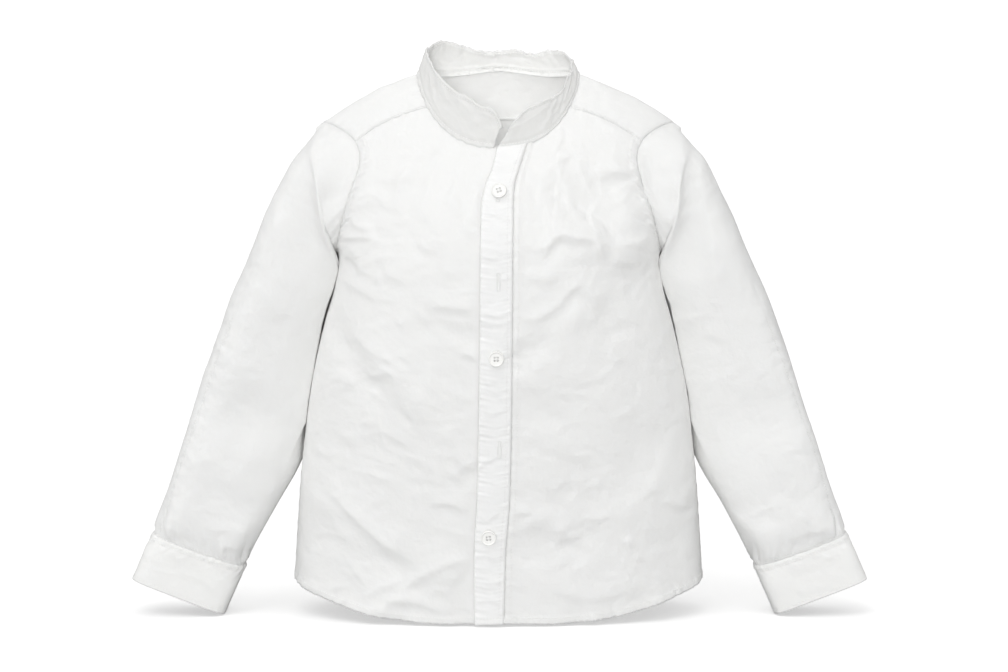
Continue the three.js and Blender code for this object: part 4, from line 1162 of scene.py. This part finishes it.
SLEEVE_ROWS, SLEEVE_COLUMNS = 190, 193
OUTER_SEAM, OUTER_SEAM_FROM = 34, 81  # its angle, and the row that it shows from
SLEEVE_FOLDS = np.array([  # section, angle, reach along and round, height
    (1.6, 62, 1.3, 24, -3), (1.4, 100, 1.2, 16, 1.6), (3.6, 84, 1.6, 20, -2.2),
    (5.4, 128, 1.2, 26, -2.2), (8.4, 60, 0.8, 34, 2.2), (9.4, 104, 0.7, 40, -2.4),
    (10.4, 66, 0.7, 36, 2), (11.5, 110, 0.6, 40, -1.8), (2, 262, 1.4, 22, -2.6),
    (6.4, 240, 1, 36, 2), (8.8, 290, 0.8, 40, -2.4), (10.2, 250, 0.8, 40, 2.2),
])
SLEEVE_CREASES = {
    -1: [
        (1.8, 6, (-174, -150), (-169, -129), (-162, -116), (-158, -102), (-151, -85), (-143, -66),
         (-135, -51)),
        (0.5, 2.5, (-158, -180), (-156, -171), (-152, -161), (-146, -156)),
        (0.8, 6, (-195, -252), (-196, -234), (-194, -214), (-189, -197), (-184, -184),
         (-178, -164)),
        (0.6, 3, (-174, -185), (-161, -179), (-154, -171)),
        (0.5, 3, (-176, -199), (-169, -208), (-167, -216)),
        (1.0, 5, (-211, -297), (-205, -309), (-197, -317), (-190, -326)),
        (0.8, 3.5, (-230, -329), (-212, -331), (-198, -334)),
        (0.8, 2.5, (-259, -343), (-249, -344), (-240, -346)),
        (1.0, 2.5, (-220, -346), (-209, -343), (-196, -345), (-188, -348)),
        (0.7, 2.5, (-212, -356), (-202, -357), (-194, -359)),
        (0.6, 3, (-192, -316), (-187, -319), (-182, -320)),
        (0.5, 3, (-220, -258), (-214, -257), (-208, -259)),
        (0.5, 3, (-208, -275), (-199, -271), (-192, -266)),
        (0.5, 3, (-206, -201), (-197, -204), (-194, -209)),
        (0.5, 3, (-211, -216), (-203, -216), (-197, -213)),
        (0.5, 3, (-218, -237), (-210, -239), (-202, -237)),
        (0.6, 3, (-233, -296), (-225, -292), (-216, -292)),
    ],
    1: [
        (2.0, 5, (138, -45), (145, -59), (146, -74), (148, -88), (151, -103), (155, -117),
         (156, -133), (158, -149), (157, -164)),
        (0.8, 3, (138, -52), (146, -64), (148, -73)),
        (0.8, 2.5, (155, -195), (164, -197), (172, -199)),
        (0.9, 4, (205, -320), (215, -326), (225, -331), (239, -343)),
        (-0.8, 4, (197, -304), (208, -316), (222, -324), (232, -334), (243, -341)),
        (0.7, 3, (205, -331), (214, -333), (222, -332)),
        (0.8, 4, (237, -319), (246, -316), (255, -324)),
        (0.9, 3, (210, -355), (225, -350), (242, -345), (260, -343)),
        (0.6, 3, (180, -343), (185, -344), (192, -344)),
        (0.5, 4, (167, -228), (178, -237), (186, -250)),
        (0.5, 4, (184, -273), (197, -282), (208, -295)),
        (0.5, 3, (220, -284), (228, -280), (237, -285)),
        (0.5, 3, (190, -181), (194, -186), (198, -189)),
        (0.5, 4, (157, -260), (164, -275), (169, -290)),
        (0.5, 3, (201, -242), (210, -239), (217, -243)),
    ],
}
SLEEVE_BACK_CREASES = [  # for the wearer's left; the right sleeve has them mirrored
    (1.6, 5, (136, -56), (144, -82), (149, -112), (152, -140)),
    (0.9, 4, (176, -118), (172, -142), (176, -166)),
    (0.9, 3, (148, -196), (162, -204), (180, -204)),
    (0.7, 3, (166, -226), (182, -236), (200, -234)),
    (0.8, 4, (184, -262), (198, -276), (216, -280)),
    (1.0, 3, (196, -312), (214, -320), (232, -322)),
    (0.8, 3, (222, -338), (236, -334), (250, -336)),
    (0.6, 3, (190, -338), (200, -346), (214, -350)),
]


# A ring's points: the angle runs from the outer edge by the front.
def ring(section, angle, side, spread, tuck):
    outer_x, outer_z, inner_x, inner_z, middle, deep, power = section
    cosine, sine = np.cos(np.radians(angle)), np.sin(np.radians(angle))
    share = (1 + np.sign(cosine) * np.abs(cosine) ** (2 / power)) / 2
    x = side * (mix(inner_x, outer_x, share) + spread)
    z = mix(inner_z, outer_z, share)
    y = middle + tuck * (1 - cosine) / 2 - deep * np.sign(sine) * np.abs(sine) ** (2 / power)
    return np.stack([x, y, z], axis=-1)


# The same section with its inner edge carried further in, behind the side of the body.
def carried_in(section, reach):
    outer_x, outer_z, inner_x, inner_z, *others = section
    slope = (outer_z - inner_z) / (outer_x - inner_x)
    return (outer_x, outer_z, inner_x - reach, inner_z - reach * slope, *others)


# Keeps a sleeve's points out of the body's side, so that the sleeve lies against it.
def clear_of_body(points, side, held=1.0):
    x, y, z = points[..., 0], points[..., 1], points[..., 2]
    reach = np.where(y < 0, ARMHOLE_FRONT, ARMHOLE_BACK)
    from_hole = np.hypot(y / reach, (z - ARMHOLE_MIDDLE) / ARMHOLE_RISE)
    level = np.where(y < 0, read(BODY_SECTIONS, 2, z), read(BODY_SECTIONS, 3, z))
    touching = (from_hole >= 0.8) & (np.abs(y) < level)
    edge = np.stack([side * reach_at(y, z), y, z], axis=-1)
    slant = np.maximum(0.4, np.abs(body_normal(edge)[..., 0]))
    room = SLEEVE_CLEAR * smooth(from_hole, 0.98, 1.15) * held / slant
    pushed = side * np.maximum(np.abs(x), np.abs(edge[..., 0]) + room)
    result = points.copy()
    result[..., 0] = np.where(touching, pushed, x)
    return result


def outward_of(grid):
    return grid - grid[:, :-1].mean(axis=1, keepdims=True)


# Rings between the sections, on smooth curves through them.
def between(rings, at):
    k = np.clip(at.astype(int), 0, len(rings) - 2)
    t = (at - k)[:, None, None]
    before, after = np.maximum(k - 1, 0), np.minimum(k + 2, len(rings) - 1)
    start, end = rings[k], rings[k + 1]
    leave, arrive = (end - rings[before]) / 2, (rings[after] - start) / 2
    return curve(t, start, end, leave, arrive)


# The plain form of a sleeve: its points, the way that they face, and their place along it as a
# section, from 0 at the armhole.
def sleeve_form(side, angle):
    rings = [armhole(angle, side, -HALF_GAP)]
    for k, section in enumerate(SLEEVE_SECTIONS):
        spread = SLEEVE_SPREAD[side] * smooth(k, 0, 9)
        tuck = SLEEVE_TUCK * smooth(k, 0, 3.5) * (1 - smooth(k, 7, 12))
        section = carried_in(section, SLEEVE_REACH * smooth(k, 1, 3) * (1 - smooth(k, 8, 10.8)))
        section = (*section[:6], section[6] + 0.9 * smooth(k, 7, 11))
        rings.append(clear_of_body(ring(section, angle, side, spread, tuck), side))
    rings = np.stack(rings)
    lengths = np.linalg.norm(np.diff(rings, axis=0), axis=-1).mean(axis=1)
    gone = np.concatenate([[0], np.cumsum(lengths)])
    at = np.interp(np.linspace(0, gone[-1], SLEEVE_ROWS), gone, np.arange(len(rings)))
    plain = between(rings, at)
    plain[:, -1] = plain[:, 0]
    normals = grid_normals(plain, outward_of(plain), True)
    return plain, mix(body_normal(plain[:1]), normals, smooth(at, 0, 1)[:, None, None]), at


def sleeve_folds(angle, row):
    total = 0
    for place, turn, rows, degrees, height in SLEEVE_FOLDS:
        aside = np.abs((angle - turn + 540) % 360 - 180) / degrees
        total = total + height * bell(row - place, rows) * bell(aside, 1)
    return total


# The relief of a sleeve: creases and crumples on its front and its back, the outer seam's
# puckers, the gathers above the cuff, and the hollow beside the armhole.
def sleeve_relief(side, angle, plain, normals, row):
    x, z = plain[..., 0], plain[..., 2]
    low, high = sorted((side * 110, side * 270))
    seed = 100 + side
    relief = 0
    for facing, x_way, creases, more in (
        (-1, 1, SLEEVE_CREASES[side], 0), (1, side, SLEEVE_BACK_CREASES, 1),
    ):
        face = 0.7 * crease(creases, x_way * x, z)
        face += crumples(x, z, (low, high, -370, -40), 90, seed + 3 * more, 1.2)
        face += crumpled(side * x, z, 26, seed + 200 + 20 * more, 35)
        relief = relief + face * smooth(facing * normals[..., 1], 0.1 * facing, 0.35)
    relief += 0.6 * unevenness(angle * 0.7 + 0 * z, z, 50, seed + 5)
    across, up = spans(plain)
    to_cuff = up[-1] - up
    from_seam = (angle - OUTER_SEAM + 180) % 360 - 180
    seam = 0.26 * pucker(up + 0.2 * across, 7, seed + 6) * bell(from_seam, 16)
    relief += (seam - 0.35 * bell(from_seam, 2.6)) * smooth(row, 5, 7)
    gather = 1.1 * smooth(row, 11, 13) * np.cos(np.radians(6 * angle))
    fine = 0.9 * pucker(across, 8, seed + 8) * bell(to_cuff, 15)
    relief += (gather + fine) * smooth(to_cuff, 0, 5)
    relief += 0.6 * pucker(across, 9, seed + 9) * bell(up, 9) * smooth(up, 0, 1.5)
    beside_front = smooth(angle, 40, 75) * (1 - smooth(angle, 88, 118))
    relief -= 5 * smooth(up, 0, 10) * (1 - smooth(up, 12, 34)) * beside_front
    return (relief + sleeve_folds(angle, row)) * smooth(up, 0, 4) * smooth(to_cuff, 0, 4)


def build_sleeve(side, name):
    angle = np.linspace(0, 360, SLEEVE_COLUMNS)
    plain, normals, at = sleeve_form(side, angle)
    relief = sleeve_relief(side, angle, plain, normals, at[:, None] - 1)
    grid = clear_of_body(plain + normals * relief[..., None], side, smooth(spans(plain)[1], 0, 10))
    grid[0], grid[-1] = plain[0], plain[-1]
    grid[:, -1] = grid[:, 0]
    onward = grid[-1] - grid[-4]
    onward /= np.linalg.norm(onward, axis=-1, keepdims=True)
    under_cuff = [grid[-1] + onward * length - normals[-1] * sink
                  for length, sink in ((1.0, 0.1), (2.2, 0.7), (4.5, 1.8))]
    rim = [armhole(angle, side, grow) for grow in (2.6, 0.9)]
    rim = [points - body_normal(points) * sink for points, sink in zip(rim, (1.5, 1.1))]
    outward = outward_of(grid)
    piece = sew(name + "_cloth", np.concatenate([rim, grid, under_cuff]), outward, CLOTH, SHIRTING)
    facing = grid_normals(grid, outward, True)
    thread = bmesh.new()
    columns = np.arange(SLEEVE_COLUMNS)
    seed = 110 + side
    stitch_row(thread, grid, facing, row_in(grid, 1.4, True), columns, seed)
    stitch_row(thread, grid, facing, row_in(grid, 1.6), columns, seed + 1)
    down = np.arange(OUTER_SEAM_FROM, SLEEVE_ROWS)
    beside = np.interp(OUTER_SEAM, angle, columns) + 1.2
    stitch_row(thread, grid, facing, down, np.full(len(down), beside), seed + 2)
    sewing = thread_piece(name + "_stitching", thread)
    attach(piece, "root")
    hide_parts(name)
    return grid, facing, at


SLEEVES = {side: build_sleeve(side, name) for side, name in
           ((-1, "sleeve_right"), (1, "sleeve_left"))}

# ---------------------------------------------------------------------------------------------
# Sleeve plackets: the narrow binding of the slit above each cuff, at the back of the arm, folded
# from a strip of the same cotton and stitched down both sides.
# ---------------------------------------------------------------------------------------------
BINDING_ROWS, BINDING_COLUMNS = 40, 14
for side, name, sleeve_name in (
    (-1, "sleeve_placket_right", "sleeve_right"), (1, "sleeve_placket_left", "sleeve_left"),
):
    sleeve, facing, at = SLEEVES[side]
    row = np.interp(np.linspace(11.2, 14.9, BINDING_ROWS), at, np.arange(len(at)))
    column = np.linspace(255.5, 268.5, BINDING_COLUMNS) / 360 * (SLEEVE_COLUMNS - 1)
    places = [each.ravel() for each in np.meshgrid(row, column, indexing="ij")]
    points, ways = (sample(source, *places).reshape(BINDING_ROWS, BINDING_COLUMNS, 3)
                    for source in (sleeve, facing))
    ways /= np.linalg.norm(ways, axis=-1, keepdims=True)
    across, up = spans(points)
    to_edge = np.minimum(across, across[:, -1][:, None] - across)
    lift = 1.5 - 0.6 * (1 - smooth(to_edge, 0, 0.8)) + 0.15 * pucker(up, 6, 90 + side)
    grid = points + ways * lift[..., None]
    binding = sew(name + "_cloth", grid, ways, FOLDED, BANDING)
    thread = bmesh.new()
    for last in (False, True):
        stitch_row(thread, grid, ways, np.arange(BINDING_ROWS), column_in(grid, 0.9, last), 24)
    sewing = thread_piece(name + "_stitching", thread)
    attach(binding, "root")
    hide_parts(name)
    width, length = across[:, -1].mean() / 1000, up[-1].mean() / 1000

# ---------------------------------------------------------------------------------------------
# Cuffs: a band of two layers over interlining, sewn over the sleeve's gathered end, double
# stitched above and stitched once near its lower edge. It laps and buttons at the back.
# ---------------------------------------------------------------------------------------------
CUFF_SECTIONS = np.array([  # level from its top, then a sleeve section's values
    (0, 262.2, -347, 191.4, -373, -5, 20.9, 2.3), (1, 267.4, -358.1, 196.4, -384.3, -6, 20.4, 2.3),
    (2, 272.4, -369.5, 201.7, -396.1, -6.5, 20.2, 2.3),
    (3, 277.2, -380.6, 207, -407.8, -7, 20, 2.3),
])
LAP_START, LAP_TURN, LAP_BLEND = 248, 376, 70  # degrees
LAP_LIFT = 2.3
CUFF_WALL = 1.4
CUFF_CREASES = {
    -1: [(0.6, 2.5, (-254, -356), (-244, -366), (-232, -368)),
         (0.6, 2.5, (-238, -378), (-224, -384), (-214, -394)),
         (0.5, 2, (-224, -362), (-212, -372), (-206, -382))],
    1: [(0.6, 2.5, (216, -366), (226, -374), (240, -374)),
        (0.6, 2.5, (234, -362), (248, -366), (258, -362)),
        (0.5, 2, (222, -388), (234, -392), (246, -386))],
}
# The cuff band is the sleeves' white cotton, painted a shade darker: painted shade that dims the
# cuffs, which the floor below lights more.
CUFF_CLOTH_PAINTED_SHADE = cotton("cuff_band_painted_shade", (0.81, 0.81, 0.80), (0.77, 0.77, 0.757), 0.0007, 95, 0.5)
for side, name, sleeve_name in (
    (-1, "cuff_right", "sleeve_right"), (1, "cuff_left", "sleeve_left"),
):
    turn = np.linspace(0, LAP_TURN, 250)
    out = LAP_LIFT * smooth(turn, LAP_TURN - LAP_BLEND, LAP_TURN - 20)
    cosine = np.cos(np.radians(LAP_START + turn))
    sine = np.sin(np.radians(LAP_START + turn))
    rows = []
    for level in np.linspace(0, 3, 34):
        section = np.array([read(CUFF_SECTIONS, k, np.array(level)) for k in range(1, 8)])
        section[6] += 0.9 + 2.0 * smooth(level, 0, 1.5)
        points = ring(section, LAP_START + turn, side, SLEEVE_SPREAD[side], 0)
        points[:, 0] += side * out * np.sign(cosine) * np.abs(cosine) ** 0.9
        points[:, 1] -= out * np.sign(sine) * np.abs(sine) ** (2 / section[6])
        rows.append(points)
    plain = np.stack(rows)
    ways = grid_normals(plain, plain - plain.mean(axis=1, keepdims=True))
    across, up = spans(plain)
    below = up[-1] - up
    shown = smooth(turn, 20, 60) * (1 - smooth(turn, 250, 300))
    relief = crease(CUFF_CREASES[side], plain[..., 0], plain[..., 2]) * shown
    relief += crumples(across, up, (0, 125, 0, 36), 26, 95 + side, 1.1)
    relief += 1.1 * crumpled(across, up, 14, 295 + side, 0)
    relief += 0.45 * pucker(across, 7, 96 + side) * bell(up, 8)
    relief += 0.25 * pucker(across, 8, 98 + side) * bell(below, 5)
    relief += 0.3 * bell(up - 2, 1.0) - 0.25 * bell(up - 3.8, 0.8)
    relief -= 0.3 * (1 - smooth(up, -0.5, 1.2))
    relief += 0.25 * bell(below - 1, 1.2)
    grid = plain + ways * (relief * 0.8)[..., None]
    whole = tucked(grid[::-1], ways[::-1], 2.2, 1.1)[::-1]
    cuff = sew(name + "_cloth", whole, ways, CUFF_WALL, CUFF_CLOTH_PAINTED_SHADE)
    thread = bmesh.new()
    columns = np.arange(grid.shape[1])
    for distance, last, seed in ((1.4, False, 25), (3.4, False, 26), (3.0, True, 27)):
        stitch_row(thread, grid, ways, row_in(grid, distance, last), columns, seed + side)
    sewing = thread_piece(name + "_stitching", thread)
    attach(cuff, "root")
    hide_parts(name)

# ---------------------------------------------------------------------------------------------
# Buttons: cast white resin, four holes in a dished face with a raised rim, sewn on with two
# crossed turns of thread. Three show on the placket and one on each cuff's lap at the back.
# ---------------------------------------------------------------------------------------------
def resin():
    material, tree, shader = new_material("button_resin")
    patches, tint = mottled(tree, 320, 3, (0.82, 0.815, 0.79), (0.88, 0.88, 0.865))
    scratch = add_node(tree, "Bump", {"Distance": 0.00004, "Height": patches})
    feed(tree, shader, {
        "Base Color": tint, "Roughness": roughness(tree, 0.28, 0.42, patches),
        "Coat Weight": 0.25, "Coat Roughness": 0.25, "Normal": scratch.outputs[0],
    })
    return material


RESIN = resin()


# A button turned about its axis: `hollow` is the depth of its dish and `rim` the rim's width.
def turned(radius, thick, hollow, rim):
    profile = [
        (0, 0), (radius - 0.5, 0), (radius - 0.15, 0.15), (radius, 0.5), (radius, thick - 0.5),
        (radius - 0.15, thick - 0.15), (radius - rim / 2, thick), (radius - rim + 0.1, thick - 0.2),
        (radius - rim - 0.3, thick - hollow), (0, thick - hollow - 0.05),
    ]
    disc = bmesh.new()
    rim_points = [disc.verts.new((x, 0, z)) for x, z in profile]
    edges = [disc.edges.new(pair) for pair in zip(rim_points[:-1], rim_points[1:])]
    bmesh.ops.spin(disc, geom=rim_points + edges, axis=(0, 0, 1), cent=(0, 0, 0), steps=48,
                   angle=2 * np.pi, use_merge=True)
    bmesh.ops.remove_doubles(disc, verts=disc.verts, dist=1e-4)
    bmesh.ops.recalc_face_normals(disc, faces=disc.faces)
    return disc


# Drills the four holes, then moves the button to its node's place and turns it to face `way`.
# `slant` is how far the holes are turned about it.
def build_button(node, way, slant, radius, thick, hollow, rim, hole, spacing):
    low, high = (Vector(corner) * 1000 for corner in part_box(node))
    centre = (low + high) / 2
    disc = make_object(node + "_disc", turned(radius, thick, hollow, rim))
    drill = bmesh.new()
    turns = [np.radians(45 + 90 * k) + slant for k in range(4)]
    spots = [(spacing * np.cos(a), spacing * np.sin(a)) for a in turns]
    for x, y in spots:
        bmesh.ops.create_cone(drill, cap_ends=True, segments=16, radius1=hole, radius2=hole,
                              depth=thick * 3, matrix=Matrix.Translation((x, y, 0)))
    drills = make_object(node + "_drills", drill)
    cutting = disc.modifiers.new("holes", "BOOLEAN")
    cutting.operation = "DIFFERENCE"
    cutting.object = drills
    cutting.solver = "EXACT"
    ready = disc.evaluated_get(bpy.context.evaluated_depsgraph_get())
    shape = bmesh.new()
    shape.from_mesh(ready.to_mesh())
    bpy.data.objects.remove(disc)
    bpy.data.objects.remove(drills)
    facing = Vector(way).normalized()
    across = Vector((0, 0, 1)).cross(facing).normalized()
    turn = Matrix((across, facing.cross(across), facing)).transposed().to_4x4()
    place = Matrix.Translation(centre) @ turn @ Matrix.Translation((0, 0, -thick / 2))
    place = Matrix.Scale(0.001, 4) @ place
    bmesh.ops.transform(shape, matrix=place, verts=shape.verts)
    for face in shape.faces:
        face.smooth = len(face.verts) <= 5
        for edge in face.edges:
            edge.smooth = edge.calc_face_angle(0) < 0.7
    button = make_object(node + "_resin", shape)
    button.data.materials.append(RESIN)
    thread = bmesh.new()
    for first, second in ((0, 2), (1, 3)):
        start, end = Vector((*spots[first], 0)), Vector((*spots[second], 0))
        for aside in (-0.22, 0.22):
            way_on = (end - start).normalized()
            side = Vector((-way_on.y, way_on.x, 0))
            middle = (start + end) / 2 + side * aside + Vector((0, 0, thick - hollow + 0.12))
            half = (end - start).length / 2 + 0.3
            lump(thread, middle, (way_on * half, side * 0.24, (0, 0, 0.22)), 2)
    bmesh.ops.transform(thread, matrix=Matrix.Scale(1000, 4) @ place, verts=thread.verts)
    sewing = thread_piece(node + "_thread", thread)
    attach(button, "root")
    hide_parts(node)


FRONT_SIZES = dict(radius=5.7, thick=2.2, hollow=0.6, rim=1.1, hole=0.8, spacing=1.5)
CUFF_SIZES = dict(radius=4.6, thick=2.0, hollow=0.5, rim=0.9, hole=0.7, spacing=1.3)
for node, buttonhole_at, slant in (
    ("front_button_1", BUTTONHOLES[0], 0.35), ("front_button_2", BUTTONHOLES[2], 0.0),
    ("front_button_3", BUTTONHOLES[4], 0.12),
):
    spot = on_body(*np.array(buttonhole_at)[:, None], -1)
    build_button(node, body_normal(spot)[0], slant, **FRONT_SIZES)
for node in ("cuff_button_right", "cuff_button_left"):
    build_button(node, (0, 1, 0), 0.0, **CUFF_SIZES)

# ---------------------------------------------------------------------------------------------
# The studio: a plain pale floor just under the hem and the cuffs, soft light from above and in
# front, and the camera a little above the middle of the shirt.
# ---------------------------------------------------------------------------------------------
FLOOR_HEIGHT, FLOOR_HALF = -0.4088, 300
CAMERA_TARGET, CAMERA_AWAY, CAMERA_TILT = Vector((0.0042, 0, -0.197)), 2.13, np.radians(7)


# The floor is pale to the eye and duller to the shirt, which it would else light from below.
def painted_floor():
    material, tree, shader = new_material("studio_floor")
    tint = mottled(tree, 9, 2, (0.78, 0.78, 0.78), (0.79, 0.79, 0.79))[1]
    seen = add_node(tree, "LightPath").outputs["Is Camera Ray"]
    dull = (0.45, 0.45, 0.45, 1)
    feed(tree, shader, {"Base Color": blend(tree, dull, tint, seen), "Roughness": 0.95,
                        "Specular IOR Level": 0.0, "Emission Color": dull,
                        "Emission Strength": seen})
    return material


ground = bmesh.new()
bmesh.ops.create_grid(ground, x_segments=8, y_segments=8, size=FLOOR_HALF)
bmesh.ops.translate(ground, vec=(0, 0, FLOOR_HEIGHT), verts=ground.verts)
floor = make_object("studio_floor", ground)
floor.data.materials.append(painted_floor())

world = bpy.data.worlds.new("studio")
bpy.context.scene.world = world
world.use_nodes = True
feed(world.node_tree, world.node_tree.nodes["Background"],
     {"Color": (1, 1, 1, 1), "Strength": 0.68})


def soft_light(name, kind, power, way, **settings):
    light = bpy.data.lights.new(name, kind)
    light.energy = power
    for key, value in settings.items():
        setattr(light, key, value)
    lamp = bpy.data.objects.new(name, light)
    lamp.rotation_euler = Vector(way).to_track_quat("-Z", "Y").to_euler()
    bpy.context.scene.collection.objects.link(lamp)
    return lamp


soft_light("overhead", "SUN", 0.55, (0.3, 0.45, -1), angle=np.radians(40))
soft_light("front", "SUN", 1.65, (0.08, 1, -0.1), angle=np.radians(14))
# A small soft lamp inside the neck, which lights the inside of the back.
inside = soft_light("inside", "AREA", 0.046, (0, 1, -0.12), shape="DISK", size=0.06)
inside.location = (0, -0.035, -0.048)
inside.visible_camera = False

eye = bpy.data.cameras.new("camera")
eye.sensor_width = 36
eye.lens = 100.09
eye.clip_end = 900
camera = bpy.data.objects.new("camera", eye)
bpy.context.scene.collection.objects.link(camera)
look = Vector((0, np.cos(CAMERA_TILT), -np.sin(CAMERA_TILT)))
camera.location = CAMERA_TARGET - look * CAMERA_AWAY
camera.rotation_euler = look.to_track_quat("-Z", "Y").to_euler()
bpy.context.scene.camera = camera
bpy.context.scene.view_settings.view_transform = "Standard"
